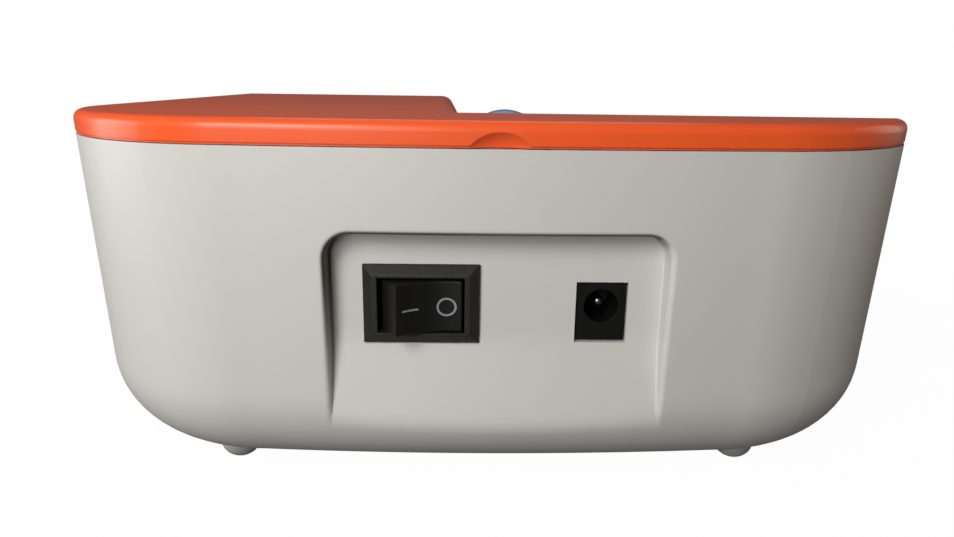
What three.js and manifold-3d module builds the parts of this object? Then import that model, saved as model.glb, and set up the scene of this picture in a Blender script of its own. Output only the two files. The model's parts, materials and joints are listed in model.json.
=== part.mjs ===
// Small desktop immunoassay reader that measures progesterone from a test cartridge.
// Millimetres, +Z up. The origin is at the middle of the footprint, on the table.
// The rear panel with the power switch faces -Y and the user sits at +Y.

import * as THREE from 'three';
import { mergeVertices } from 'three/addons/utils/BufferGeometryUtils.js';
import Module from 'manifold-3d';

const wasm = await Module();
wasm.setup();

// Clearances, and one overrun that carries every cut past its face
const seatGap = 0.3;
const slideGap = 0.4;
const seamGap = 0.2;
const overrun = 3;

// Case, measured at the parting line between the grey tub and the orange cover
const caseDepth = 216;
const seamHalfWidth = 86;
const planRadius = 40;
const wallBow = 1.7;
const caseHeight = 65.1;
const footDrop = 4;
const undersideRadius = 18.6;
const wall = 2.5;
const draftShare = 0.045;
const tongueHeight = 1.5;
const tongueShare = 0.42;

// Cover
const rimHeight = 4.65;
const rimRound = 1.9;
const seamLip = 0.5;
const seamLipDepth = 0.3;
const crestFromRear = 27;
const deckFall = 20.532;
const printerSlope = THREE.MathUtils.degToRad(23.3);
const blockFromFront = 61;
const blockRound = 4.5;
const stepX = -5.6;
const stepSkew = THREE.MathUtils.degToRad(1.9);
const notchRadius = 7.3;
const notchHeight = 2.7;
const notchDepth = 1.9;
const notchBacking = 1.7;
const notchSpread = 8;

// Recessed rear panel
const panelDepth = 6.34;
const recessLeft = 30.7;
const recessRight = 31.1;
const recessTop = 50.2;
const recessFoot = 5;
const recessRadius = 5;

// Feet
const footRadius = 4.3;
const footStemRadius = 1.6;
const footFlatRadius = 1.4;
const footFromSide = 31.8;
const footFromEnd = 24;
const footStemLength = 3;
const footPadRadius = 6.4;
const footPadHeight = 6;

// Case screws and their bosses
const screwRadius = 1.5;
const screwHeadRadius = 2.8;
const screwHeadHeight = 2;
const screwDriveRadius = 1;
const screwDriveDepth = 1.2;
const screwSink = 5;
const screwGrip = 14;
const bossRadius = 4.2;
const bossTop = 40;
const screwFromSide = 26;
const screwFromRear = 35;
const screwFromFront = 74;

// Power switch in its snap-in frame
const switchX = -13.65;
const switchHeight = 36.37;
const bezelWidth = 21.3;
const bezelHeight = 15;
const bezelProud = 2;
const bezelChamfer = 1.75;
const bezelChamferDepth = 1.3;
const bezelBand = 1;
const bezelRail = 0.55;
const switchBodyWidth = 18.9;
const switchBodyHeight = 12.7;
const switchBodyDepth = 14;
const switchWall = 1.4;
const rockerThrow = THREE.MathUtils.degToRad(17.1);
const rockerEndRise = 5.54;
const rockerDish = 1.56;
const rockerPivotDepth = 3.2;
const rockerHeelDepth = 3.4;
const rockerHeelHalfWidth = 3;
const terminalWidth = 6.3;
const terminalThickness = 0.8;
const terminalLength = 8;
const terminalSpacing = 10;

// Power inlet and the small board that carries it
const jackX = 19.58;
const jackHeight = 34.81;
const jackWidth = 9;
const jackTall = 11;
const jackDepth = 14;
const jackSetBack = 0.5;
const jackBoreRadius = 3.2;
const jackBoreFromTop = 4.4;
const jackBoreDepth = 9.5;
const jackPinRadius = 1;
const jackPinSetBack = 2.4;
const contactWidth = 2;
const contactThickness = 0.4;
const contactSetBack = 3;
const boardThickness = 1.6;
const powerBoardWidth = 34;
const powerBoardLength = 30;
const powerPostRadius = 3;
const capacitorRadius = 4;
const capacitorHeight = 12;

// Domed start button in its raised collar on the deck
const buttonX = 3.9;
const buttonAlong = 33.2;
const buttonRadius = 7;
const domeRadius = 10.6;
const domeBase = 0.3;
const collarTop = 1.7;
const collarWall = 1.3;
const collarFlare = 1.3;
const flangeWidth = 1.4;
const flangeThickness = 1;
const stemRadius = 1.6;
const buttonTravel = 0.6;
const tactWidth = 6;
const tactHeight = 2.4;
const tactPlungerRadius = 1.7;
const tactPlungerHeight = 0.8;

// Touch display
const glassFromSide = 9.5;
const glassFromStep = 6.1;
const glassFromScrew = 12.676;
const glassThickness = 1.8;
const glassRadius = 3;
const glassStart = 47;
const ledge = 3;
const ledgeThickness = 2.2;
const lcdThickness = 3.4;
const padMargin = 4;

// Main board under the deck
const boardFromSide = 7;
const boardFromStep = 2.6;
const boardStart = 14;
const boardFromScrew = 5.676;
const boardHoleInset = 3.5;
const standoffRadius = 2.8;
const boardScrewRadius = 1.2;
const boardScrewHeadRadius = 2.4;
const boardScrewHeadHeight = 1.4;
const chipSize = 14;
const chipHeight = 1.4;
const buzzerRadius = 6;
const buzzerHeight = 7;

// Cartridge tray on its rails
const trayFromSide = 51;
const trayWidth = 30;
const trayBottom = 25;
const trayHeight = 9;
const trayLength = 110.5;
const trayFromFront = 7.5;
const traySlide = 75;
const pocketWidth = 21.6;
const pocketLength = 72;
const pocketDepth = 5.2;
const pocketFromFront = 2.5;
const windowLength = 12;
const tongueWidth = 2.2;
const tongueThickness = 2;
const frontWidth = 37;
const frontHeight = 14;
const frontDrop = 2;
const pullDepth = 1.2;
const pullHeight = 2.4;
const railWall = 2.6;
const railLip = 1.2;
const railDepth = 4;
const railLength = 107;
const railFromFront = 13;
const railPostLength = 9;
const railPostInset = 12;
const railPostSpacing = 60;

// Rack and pinion
const toothModule = 1;
const pinionTeeth = 16;
const pressureAngle = THREE.MathUtils.degToRad(20);
const backlash = 0.2;
const pinionFromFront = 26;
const pinionHeight = 4.6;
const rackDrop = 0.6;
const rackRunOn = 9;
const shaftRadius = 1;
const motorRadius = 10;
const motorHeight = 15;
const motorEarRadius = 3;
const motorEarSpread = 12.5;
const bracketThickness = 1.4;
const bracketLength = 10;
const bracketFootLength = 7;
const bracketReach = 3.2;
const bracketHoleRadius = 3;

// Tray position sensor
const flagWidth = 2;
const flagLength = 6;
const flagHeight = 5;
const sensorSlot = 4;
const sensorArm = 3;
const sensorHeight = 8;
const sensorLength = 6;
const sensorBase = 3;

// Optical head over the tray
const headWidth = 24;
const headLength = 27;
const headTall = 14;
const headFromFront = 56;
const headBridgeThickness = 2;
const headBridgeHalfWidth = 23.6;
const headLegWidth = 2;
const headClearance = 1.4;
const lensRadius = 4;
const lensThickness = 2;
const filterThickness = 1.5;
const boreWall = 1;
const ledRadius = 2.5;
const ledLength = 10;
const ledTilt = THREE.MathUtils.degToRad(38);
const sensorBoardThickness = 1.2;

// Strip printer in the raised block
const doorFromSide = 11.8;
const doorFromStep = 5.4;
const doorStart = 12;
const doorThickness = 2.5;
const hingeAlong = 42;
const barrelRadius = 3;
const knuckleWidth = 3.2;
const hingePinRadius = 1.2;
const bayWall = 1.6;
const bayDepth = 31;
const bayFlange = 1.8;
const bayFlangeThickness = 1.6;
const platenRadius = 4;
const platenCoreRadius = 1.5;
const platenEndRoom = 5;
const platenAlong = 17.5;
const platenDepth = 8.2;
const platenEar = 2;
const platenEarRadius = 3;
const printHeadThickness = 4;
const printHeadHeight = 9;
const printHeadRise = 1.5;
const tearBarWidth = 1.2;
const tearBarHeight = 1.8;
const exitSlit = 0.9;
const releaseWidth = 18;
const releaseLength = 5.4;
const releaseAlong = 6;
const releaseProud = 0.4;

// Internal leads, as hand-laid routes
const leadRadius = 1;
const leadBend = 4;
const leadRun = 18;

// Places that follow from the sizes
const rearY = -caseDepth / 2;
const frontY = caseDepth / 2;
const seamZ = footDrop + caseHeight;
const rimTop = seamZ + rimHeight;
const crestY = rearY + crestFromRear;
const blockY = frontY - blockFromFront;
const deckSlope = Math.atan(deckFall / (frontY - crestY));
const screwX = seamHalfWidth - screwFromSide;
const rearScrewY = rearY + screwFromRear;
const frontScrewY = frontY - screwFromFront;
const footX = seamHalfWidth - footFromSide;
const glassLeft = stepX + glassFromStep;
const glassWidth = seamHalfWidth - glassFromSide - glassLeft;
const glassX = glassLeft + glassWidth / 2;
const screwAlong = (frontScrewY - crestY) / Math.cos(deckSlope);
const glassLength = screwAlong - glassFromScrew - glassStart;
const boardLeft = stepX + boardFromStep;
const boardWidth = seamHalfWidth - boardFromSide - boardLeft;
const boardX = boardLeft + boardWidth / 2;
const boardLength = screwAlong - boardFromScrew - boardStart;
const trayX = seamHalfWidth - trayFromSide;
const trayFront = frontY - trayFromFront;
const trayRear = trayFront - trayLength;
const railFront = frontY - railFromFront;
const railRear = railFront - railLength;
const railPostRearY = railRear + railPostInset;
const railPostFrontY = railPostRearY + railPostSpacing;
const pinionY = frontY - pinionFromFront;
const headY = frontY - headFromFront;
const stepFrontX = stepX - (frontY - crestY) * Math.tan(stepSkew);
const doorRight = stepFrontX - doorFromStep;
const doorWidth = seamHalfWidth - doorFromSide + doorRight;
const printerX = doorRight - doorWidth / 2;
const platenLength = doorWidth - 2 * platenEndRoom;
const panelY = rearY + panelDepth;
const floorZ = footDrop + wall;
const switchZ = footDrop + switchHeight;
const jackZ = footDrop + jackHeight;
const reachOut = seamHalfWidth + overrun;

const finishes = {
  greyCase: { color: 0xcfccc5, roughness: 0.5, metalness: 0 },
  orangeCover: { color: 0xf4683a, roughness: 0.3, metalness: 0 },
  blueKey: { color: 0x4c98d0, roughness: 0.3, metalness: 0 },
  blackPlastic: { color: 0x1c1d1f, roughness: 0.6, metalness: 0 },
  whitePlastic: { color: 0xe6e5e1, roughness: 0.5, metalness: 0 },
  glass: { color: 0x101418, roughness: 0.08, metalness: 0 },
  clearGlass: { color: 0xc4dce6, roughness: 0.05, metalness: 0 },
  rubber: { color: 0x8c8d8c, roughness: 0.7, metalness: 0 },
  steel: { color: 0xb9bbbd, roughness: 0.35, metalness: 1 },
  board: { color: 0x1f6b3c, roughness: 0.5, metalness: 0 },
  redLead: { color: 0xb3221c, roughness: 0.5, metalness: 0 },
};

const analyzer = new THREE.Group();

// The deck frame lies on the sloping deck, Y down the slope and Z out of it.
const deck = new THREE.Group();
deck.position.set(0, crestY, rimTop);
deck.rotation.x = -deckSlope;
deck.updateMatrix();
analyzer.add(deck);

// The printer frame lies on the front slope of the raised block in the same way.
const printer = new THREE.Group();
printer.position.set(printerX, blockY, rimTop);
printer.rotation.x = -printerSlope;
printer.updateMatrix();
analyzer.add(printer);

// A closed geometry as a solid that can be joined and cut
function solid(geometry) {
  const bare = geometry.clone();
  bare.deleteAttribute('normal');
  bare.deleteAttribute('uv');
  const merged = mergeVertices(bare);
  const triVerts = new Uint32Array(merged.index.array);
  const vertProperties = merged.attributes.position.array;
  return new wasm.Manifold(new wasm.Mesh({ numProp: 3, vertProperties, triVerts }));
}

function geometryOf(body) {
  const mesh = body.getMesh();
  const geometry = new THREE.BufferGeometry();
  geometry.setAttribute('position', new THREE.BufferAttribute(mesh.vertProperties, mesh.numProp));
  geometry.setIndex(new THREE.BufferAttribute(mesh.triVerts, 1));
  geometry.computeVertexNormals();
  return geometry;
}

function joined(first, ...others) {
  return others.reduce((body, other) => body.add(other), first);
}

function cut(first, ...others) {
  return others.reduce((body, other) => body.subtract(other), first);
}

function add(name, shape, finish, parent = analyzer) {
  const geometry = shape.isBufferGeometry ? shape : geometryOf(shape);
  const mesh = new THREE.Mesh(geometry, new THREE.MeshStandardMaterial(finishes[finish]));
  mesh.name = name;
  parent.add(mesh);
  return mesh;
}

function box(low, high) {
  const size = high.map((value, axis) => value - low[axis]);
  const middle = high.map((value, axis) => (value + low[axis]) / 2);
  return new THREE.BoxGeometry(...size).translate(...middle);
}

function boxSolid(low, high) {
  return solid(box(low, high));
}

// A cylinder that stands along Z
function disc(radius, low, high, x = 0, y = 0, sides = 16) {
  const geometry = new THREE.CylinderGeometry(radius, radius, high - low, sides);
  return geometry.rotateX(Math.PI / 2).translate(x, y, (low + high) / 2);
}

// A cylinder that lies along X
function barX(radius, low, high, y, z, sides = 16) {
  const geometry = new THREE.CylinderGeometry(radius, radius, high - low, sides);
  return geometry.rotateZ(Math.PI / 2).translate((low + high) / 2, y, z);
}

// A cylinder that lies along Y
function barY(radius, low, high, x, z, sides = 16) {
  const geometry = new THREE.CylinderGeometry(radius, radius, high - low, sides);
  return geometry.translate(x, (low + high) / 2, z);
}

// A profile of [radius, z] points turned about Z
function turned(profile, sides = 24) {
  const points = profile.map(([radius, z]) => new THREE.Vector2(radius, z));
  return new THREE.LatheGeometry(points, sides).rotateX(Math.PI / 2);
}

function shapeOf(outline) {
  return new THREE.Shape(outline.map(([u, v]) => new THREE.Vector2(u, v)));
}

// An XY outline raised from z low to z high
function slab(outline, low, high) {
  const settings = { depth: high - low, bevelEnabled: false };
  return new THREE.ExtrudeGeometry(shapeOf(outline), settings).translate(0, 0, low);
}

const axisX = new THREE.Vector3(1, 0, 0);
const axisY = new THREE.Vector3(0, 1, 0);
const axisZ = new THREE.Vector3(0, 0, 1);
const towardsMinusY = new THREE.Vector3(0, -1, 0);

// A YZ outline drawn out along X
function prismX(outline, low, high) {
  const turn = new THREE.Matrix4().makeBasis(axisY, axisZ, axisX);
  return slab(outline, low, high).applyMatrix4(turn);
}

// An XZ outline drawn out along Y
function prismY(outline, low, high) {
  const turn = new THREE.Matrix4().makeBasis(axisX, axisZ, towardsMinusY);
  return slab(outline, -high, -low).applyMatrix4(turn);
}

// A polygon whose corners are rounded, each to its own radius
function rounded(corners, radii, steps = 4) {
  const outline = [];
  corners.forEach(([x, y], place) => {
    const corner = new THREE.Vector2(x, y);
    const before = new THREE.Vector2(...corners.at(place - 1)).sub(corner).normalize();
    const after = new THREE.Vector2(...corners[(place + 1) % corners.length]).sub(corner).normalize();
    const radius = radii[place];
    if (radius === 0) {
      outline.push([x, y]);
      return;
    }
    const half = Math.acos(before.dot(after)) / 2;
    const centre = before.clone().add(after).setLength(radius / Math.sin(half)).add(corner);
    const reach = radius / Math.tan(half);
    const start = before.multiplyScalar(reach).add(corner).sub(centre);
    const end = after.multiplyScalar(reach).add(corner).sub(centre);
    const sweep = Math.atan2(start.cross(end), start.dot(end));
    for (let step = 0; step <= steps; step++) {
      const point = start.clone().rotateAround(new THREE.Vector2(), (sweep * step) / steps);
      outline.push([point.x + centre.x, point.y + centre.y]);
    }
  });
  return outline;
}

function roundedBlock(width, length, radius, x, y) {
  const corners = [
    [x - width / 2, y - length / 2],
    [x + width / 2, y - length / 2],
    [x + width / 2, y + length / 2],
    [x - width / 2, y + length / 2],
  ];
  return rounded(corners, corners.map(() => radius));
}

// Case plan: a rectangle with bowed ends and large corners. One half runs from the middle
// of the rear to the middle of the front, and the other half is its mirror image.
const bowSteps = 3;
const crestSteps = 6;
const sideSteps = 2;
const centreToCrest = (wallBow + planRadius - crestFromRear) / (planRadius - rimRound);
const crestTurn = Math.acos(THREE.MathUtils.clamp(centreToCrest, 0, 1));
const cornerTurns = [];
for (let step = 1; step <= crestSteps; step++) cornerTurns.push((crestTurn * step) / crestSteps);
for (let step = 1; step <= sideSteps; step++) {
  cornerTurns.push(crestTurn + ((Math.PI / 2 - crestTurn) * step) / sideSteps);
}

function halfPlan(inset) {
  const radius = planRadius - inset;
  const straight = seamHalfWidth - planRadius;
  const quarter = [];
  for (let step = 0; step <= bowSteps; step++) {
    const share = step / bowSteps;
    quarter.push([straight * share, rearY + inset + wallBow * share * share]);
  }
  for (const turn of cornerTurns) {
    const fromCorner = radius - radius * Math.cos(turn);
    quarter.push([straight + radius * Math.sin(turn), rearY + inset + wallBow + fromCorner]);
  }
  const mirrored = quarter.map(([x, y]) => [x, -y]).reverse();
  return [...quarter, ...mirrored];
}

// One ring of the case skin: the plan inset by the wall's draft at each point's own height
function caseRing(inset, heightAt) {
  const rough = halfPlan(inset);
  const heights = rough.map(([, y]) => heightAt(y));
  const half = rough.map((point, place) => {
    const [x, y] = halfPlan(inset + draftShare * (seamZ - heights[place]))[place];
    return [x, y, heights[place]];
  });
  const mirror = half.slice(1, -1).reverse().map(([x, y, z]) => [-x, y, z]);
  return [...half, ...mirror];
}

// A closed skin through rings of equal count, capped at both ends by strips across X
function loft(rings) {
  const count = rings[0].length;
  const middle = count / 2;
  const index = [];
  for (let ring = 0; ring < rings.length - 1; ring++) {
    for (let place = 0; place < count; place++) {
      const next = (place + 1) % count;
      const a = ring * count + place;
      const b = ring * count + next;
      const c = b + count;
      const d = a + count;
      index.push(a, b, c, a, c, d);
    }
  }
  for (const [first, flip] of [[0, true], [(rings.length - 1) * count, false]]) {
    for (let place = 0; place < middle; place++) {
      const right = first + place;
      const rightNext = right + 1;
      const left = first + ((count - place) % count);
      const leftNext = first + count - place - 1;
      const faces = [];
      if (left !== right) faces.push([left, right, rightNext]);
      if (leftNext !== rightNext) faces.push([left, rightNext, leftNext]);
      for (const [a, b, c] of faces) index.push(...(flip ? [a, c, b] : [a, b, c]));
    }
  }
  const geometry = new THREE.BufferGeometry();
  geometry.setAttribute('position', new THREE.Float32BufferAttribute(rings.flat(2), 3));
  geometry.setIndex(index);
  return solid(geometry);
}

// The parting line is level behind the crest and falls with the deck in front of it.
function seamAt(y) {
  return seamZ - Math.max(0, y - crestY) * Math.tan(deckSlope);
}

function above(rise) {
  return (y) => seamAt(y) + rise;
}

function level(height) {
  return () => height;
}

// Rings of the rounded underside, offset inwards by a wall
function undersideRings(skin, steps) {
  const rings = [];
  const radius = undersideRadius - skin;
  for (let step = 0; step <= steps; step++) {
    const turn = (Math.PI / 2) * (step / steps);
    const height = footDrop + undersideRadius - radius * Math.cos(turn);
    rings.push(caseRing(undersideRadius - radius * Math.sin(turn), level(height)));
  }
  return rings;
}

// Outer and inner skins as whole solids
const underside = undersideRings(0, 6);
const tubOuter = loft([...underside, caseRing(0, above(0))]);
const tubWhole = loft([...underside, caseRing(0, above(rimHeight))]);
const tubInner = loft([...undersideRings(wall, 4), caseRing(wall, above(overrun))]);
const tongueInset = wall * (1 - tongueShare);
const tongueBlank = loft([
  caseRing(tongueInset, above(-wall)),
  caseRing(tongueInset, above(tongueHeight)),
]);

// Grey lower case with its recessed rear panel
const recessOutline = rounded(
  [
    [-recessLeft, footDrop + recessFoot],
    [recessRight, footDrop + recessFoot],
    [recessRight, footDrop + recessTop],
    [-recessLeft, footDrop + recessTop],
  ],
  [0, 0, recessRadius, recessRadius],
);
const recessCut = solid(prismY(recessOutline, rearY - overrun, panelY));
const recessWall = boxSolid(
  [-recessLeft - wall, rearY, footDrop],
  [recessRight + wall, panelY + wall, footDrop + recessTop + wall],
).intersect(tubOuter);

function opening(x, z, width, height) {
  const low = [x - width / 2, rearY - overrun, z - height / 2];
  const high = [x + width / 2, panelY + wall + overrun, z + height / 2];
  return boxSolid(low, high);
}

const switchOpening = opening(
  switchX,
  switchZ,
  switchBodyWidth + 2 * seatGap,
  switchBodyHeight + 2 * seatGap,
);
const jackOpening = opening(jackX, jackZ, jackWidth + 2 * seatGap, jackTall + 2 * seatGap);

const screwPlaces = [
  ['case_screw_rear_left', -screwX, rearScrewY],
  ['case_screw_rear_right', screwX, rearScrewY],
  ['case_screw_front_left', -screwX, frontScrewY],
  ['case_screw_front_right', screwX, frontScrewY],
];
const footPlaces = [
  ['foot_rear_left', -footX, rearY + footFromEnd],
  ['foot_rear_right', footX, rearY + footFromEnd],
  ['foot_front_left', -footX, frontY - footFromEnd],
  ['foot_front_right', footX, frontY - footFromEnd],
];

const screwSeatZ = footDrop + screwSink + screwHeadHeight;
const screwTip = bossTop + screwGrip;
const bossBlanks = screwPlaces.map(([, x, y]) => solid(disc(bossRadius, footDrop, bossTop, x, y)));
const bossBores = screwPlaces.map(([, x, y]) => {
  const bore = disc(screwRadius + seatGap, footDrop - overrun, bossTop + overrun, x, y);
  const sink = disc(screwHeadRadius + seatGap, footDrop - overrun, screwSeatZ + seatGap, x, y);
  return solid(bore).add(solid(sink));
});
const footPads = footPlaces.map(([, x, y]) => {
  return solid(disc(footPadRadius, footDrop, footDrop + footPadHeight, x, y));
});
const footBores = footPlaces.map(([, x, y]) => {
  const top = footDrop + footStemLength + seatGap;
  return solid(disc(footStemRadius + seatGap, footDrop - overrun, top, x, y));
});

// Posts on the floor under the inlet board and the tray sensor
const powerBoardX = jackX - jackWidth / 2 + powerBoardWidth / 4;
const powerBoardY = panelY + jackSetBack + wall + seatGap + powerBoardLength / 2;
const powerBoardZ = jackZ - jackTall / 2 - seatGap - boardThickness;
const powerPosts = [-1, 1].map((side) => {
  const x = powerBoardX + side * (powerBoardWidth / 2 - powerPostRadius);
  const y = powerBoardY + powerBoardLength / 2 - powerPostRadius;
  return solid(disc(powerPostRadius, footDrop, powerBoardZ - seatGap, x, y, 12));
});
const sensorY = trayRear - flagLength - seatGap;
const flagLow = trayBottom + (trayHeight - flagHeight) / 2;
const sensorZ = flagLow - slideGap - sensorBase;
const sensorPost = boxSolid(
  [trayX - sensorArm, sensorY - sensorLength / 2, footDrop],
  [trayX + sensorArm, sensorY + sensorLength / 2, sensorZ - seatGap],
);

// The tray's mouth in the front wall
const trayMid = trayBottom - frontDrop + frontHeight / 2;
const mouth = boxSolid(
  [
    trayX - frontWidth / 2 - slideGap,
    frontY - planRadius,
    trayMid - frontHeight / 2 - slideGap,
  ],
  [
    trayX + frontWidth / 2 + slideGap,
    frontY + overrun,
    trayMid + frontHeight / 2 + slideGap,
  ],
);

// The rim's tongue stops short on both sides of the notch.
const tongueGap = boxSolid(
  [-notchSpread - slideGap, rearY - overrun, seamZ],
  [notchSpread + slideGap, rearY + 2 * wall, seamZ + tongueHeight + overrun],
);
const tubShell = joined(
  cut(joined(tubOuter, tongueBlank), tubInner),
  recessWall,
  joined(...bossBlanks, ...footPads, ...powerPosts, sensorPost).intersect(tubOuter),
);
add(
  'bottom_housing',
  cut(
    tubShell,
    recessCut,
    tongueGap,
    switchOpening,
    jackOpening,
    mouth,
    ...bossBores,
    ...footBores,
  ),
  'greyCase',
);

// Rubber feet: domes with a small worn flat, held by a stem pressed into the floor
const footProfile = [[0, 0], [footFlatRadius, 0]];
const domeSteps = 5;
const footFlatTurn = Math.asin(footFlatRadius / footRadius);
for (let step = 1; step <= domeSteps; step++) {
  const turn = footFlatTurn + (Math.PI / 2 - footFlatTurn) * (step / domeSteps);
  const fall = Math.cos(turn) / Math.cos(footFlatTurn);
  footProfile.push([footRadius * Math.sin(turn), (footDrop - seatGap) * (1 - fall)]);
}
footProfile.push([footStemRadius, footDrop - seatGap]);
footProfile.push([footStemRadius, footDrop + footStemLength]);
footProfile.push([0, footDrop + footStemLength]);
for (const [name, x, y] of footPlaces) {
  add(name, turned(footProfile, 20), 'rubber').position.set(x, y, 0);
}

// Case screws, driven up through the floor into the cover
const screwProfile = [
  [0, screwDriveDepth],
  [screwDriveRadius, screwDriveDepth],
  [screwDriveRadius, 0],
  [screwHeadRadius, 0],
  [screwHeadRadius, screwHeadHeight],
  [screwRadius, screwHeadHeight],
  [screwRadius, screwTip - screwSeatZ],
  [0, screwTip - screwSeatZ + screwRadius],
];
for (const [name, x, y] of screwPlaces) {
  add(name, turned(screwProfile, 12), 'steel').position.set(x, y, screwSeatZ - screwHeadHeight);
}

// Orange cover: a wedge over the whole plan with the printer block standing on it
function coverSkin(top, skin) {
  const rings = [];
  if (skin === 0) {
    rings.push(caseRing(seamLipDepth, above(seamGap)));
    rings.push(caseRing(seamLipDepth, above(seamLip)));
    rings.push(caseRing(0, above(seamLip)));
  } else {
    rings.push(caseRing(tongueInset - seatGap, above(-overrun)));
    rings.push(caseRing(tongueInset - seatGap, above(tongueHeight + seatGap)));
    rings.push(caseRing(skin, above(tongueHeight + seatGap)));
  }
  const roundSteps = 4;
  const radius = rimRound - skin;
  if (radius <= 0) {
    rings.push(caseRing(skin, (y) => top(y) - skin));
    return loft(rings);
  }
  for (let step = 0; step <= roundSteps; step++) {
    const turn = (Math.PI / 2) * (step / roundSteps);
    const fall = rimRound - radius * Math.sin(turn);
    rings.push(caseRing(rimRound - radius * Math.cos(turn), (y) => top(y) - fall));
  }
  return loft(rings);
}

// Side view of the block: level top, rounded crest, and the slope with the printer door
function blockBounds(skin) {
  const fall = (frontY + overrun - blockY) * Math.tan(printerSlope);
  const crestBack = skin * Math.tan(printerSlope / 2);
  const side = rounded(
    [
      [rearY - overrun, seamZ - overrun],
      [rearY - overrun, rimTop - skin],
      [blockY - crestBack, rimTop - skin],
      [frontY + overrun, rimTop - fall - skin / Math.cos(printerSlope)],
      [frontY + overrun, seamAt(frontY) - caseHeight / 2],
      [rearY - overrun, seamAt(frontY) - caseHeight / 2],
    ],
    [0, 0, blockRound, 0, 0, 0],
  );
  const end = rounded(
    [
      [-reachOut, seamAt(frontY) - caseHeight / 2],
      [-skin, seamAt(frontY) - caseHeight / 2],
      [-skin, rimTop - skin],
      [-reachOut, rimTop - skin],
    ],
    [0, 0, blockRound - skin, 0],
  );
  const length = prismY(end, -crestFromRear - overrun, caseDepth + overrun);
  length.rotateZ(stepSkew).translate(stepX, crestY, 0);
  return solid(prismX(side, -reachOut, reachOut)).intersect(solid(length));
}

const blockOuter = coverSkin(level(rimTop), 0).intersect(blockBounds(0));
const blockInner = coverSkin(level(rimTop), wall).intersect(blockBounds(wall));
const coverOuter = joined(coverSkin(above(rimHeight), 0), blockOuter);
const coverInner = joined(coverSkin(above(rimHeight), wall), blockInner);

// Bosses that take the case screws
const coverBosses = screwPlaces.map(([, x, y]) => {
  const roof = x < stepX ? rimTop : seamAt(y + bossRadius) + rimHeight;
  return solid(disc(bossRadius, bossTop + seatGap, roof - wall / 2, x, y));
});
const coverBossBores = screwPlaces.map(([, x, y]) => {
  const tip = screwTip + screwRadius + seatGap;
  return solid(disc(screwRadius + seatGap, bossTop, tip, x, y, 12));
});

// The deck carries a frame behind the display, standoffs for the board and the key's collar.
const glassMid = glassStart + glassLength / 2;
const ledgeTop = -glassThickness - seatGap;
const padBottom = ledgeTop - ledgeThickness;
const lcdTop = padBottom - seatGap;
const boardTop = lcdTop - lcdThickness - seatGap;
const boardMid = boardStart + boardLength / 2;
const boardHoles = [-1, 1].flatMap((across) => [-1, 1].map((along) => [
  boardX + across * (boardWidth / 2 - boardHoleInset),
  boardMid + along * (boardLength / 2 - boardHoleInset),
]));

function onDeck(geometry) {
  return solid(geometry.applyMatrix4(deck.matrix));
}

const displayPad = onDeck(slab(
  roundedBlock(glassWidth + 2 * padMargin, glassLength + 2 * padMargin, glassRadius, glassX, glassMid),
  padBottom,
  -wall / 2,
));
const displaySeat = onDeck(slab(
  roundedBlock(glassWidth + 2 * seatGap, glassLength + 2 * seatGap, glassRadius, glassX, glassMid),
  ledgeTop,
  overrun,
));
const displayWindow = onDeck(slab(
  roundedBlock(glassWidth - 2 * ledge, glassLength - 2 * ledge, glassRadius, glassX, glassMid),
  padBottom - overrun,
  0,
));
const standoffs = boardHoles.map(([x, y]) => {
  return onDeck(disc(standoffRadius, boardTop + seatGap, -wall / 2, x, y, 12));
});
const standoffBores = boardHoles.map(([x, y]) => {
  return onDeck(disc(boardScrewRadius + seatGap, boardTop - overrun, -wall - seatGap, x, y, 12));
});
const keyHole = buttonRadius + slideGap;
const collar = onDeck(turned([
  [0, -wall / 2],
  [keyHole + collarWall + collarFlare, -wall / 2],
  [keyHole + collarWall + collarFlare, 0],
  [keyHole + collarWall, collarTop],
  [0, collarTop],
]).translate(buttonX, buttonAlong, 0));
const collarBore = onDeck(disc(keyHole, -wall - overrun, collarTop + overrun, buttonX, buttonAlong, 24));

// Openings of the printer block
function onSlope(geometry) {
  return solid(geometry.applyMatrix4(printer.matrix));
}

const doorHalf = doorWidth / 2;
const bayHalf = doorHalf;
const bayEnd = hingeAlong + barrelRadius;
const doorOpening = onSlope(box(
  [-doorHalf - seatGap, doorStart - exitSlit, -wall - overrun],
  [doorHalf + seatGap, bayEnd + seatGap, overrun],
));
const releaseOpening = onSlope(box(
  [-releaseWidth / 2 - slideGap, releaseAlong - releaseLength / 2 - slideGap, -wall - overrun],
  [releaseWidth / 2 + slideGap, releaseAlong + releaseLength / 2 + slideGap, overrun],
));

// Half-moon notch for prying the cover off: a shallow scoop with a backing inside the rim
const notchZ = seamZ + notchHeight - notchRadius;
const scoopRadius = (notchRadius ** 2 + notchDepth ** 2) / (2 * notchDepth);
const scoopTurn = Math.asin(notchRadius / scoopRadius);
const scoopSteps = 5;
const scoopProfile = [];
for (let step = 0; step <= scoopSteps; step++) {
  const turn = (scoopTurn * step) / scoopSteps;
  const rise = scoopRadius * (1 - Math.cos(turn));
  scoopProfile.push([scoopRadius * Math.sin(turn), rise - notchDepth]);
}
scoopProfile.push([notchRadius, overrun], [0, overrun]);
const notch = solid(turned(scoopProfile, 40).rotateX(Math.PI / 2).translate(0, rearY, notchZ));
const notchBack = boxSolid(
  [-notchSpread, rearY + seamLip, seamZ + seamGap],
  [notchSpread, rearY + notchDepth + notchBacking, rimTop - wall / 2],
);

add(
  'top_cover',
  cut(
    joined(
      cut(coverOuter, coverInner),
      ...coverBosses,
      displayPad,
      ...standoffs,
      collar,
      notchBack,
    ),
    ...coverBossBores,
    displaySeat,
    displayWindow,
    ...standoffBores,
    collarBore,
    doorOpening,
    releaseOpening,
    notch,
  ),
  'orangeCover',
);

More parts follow.
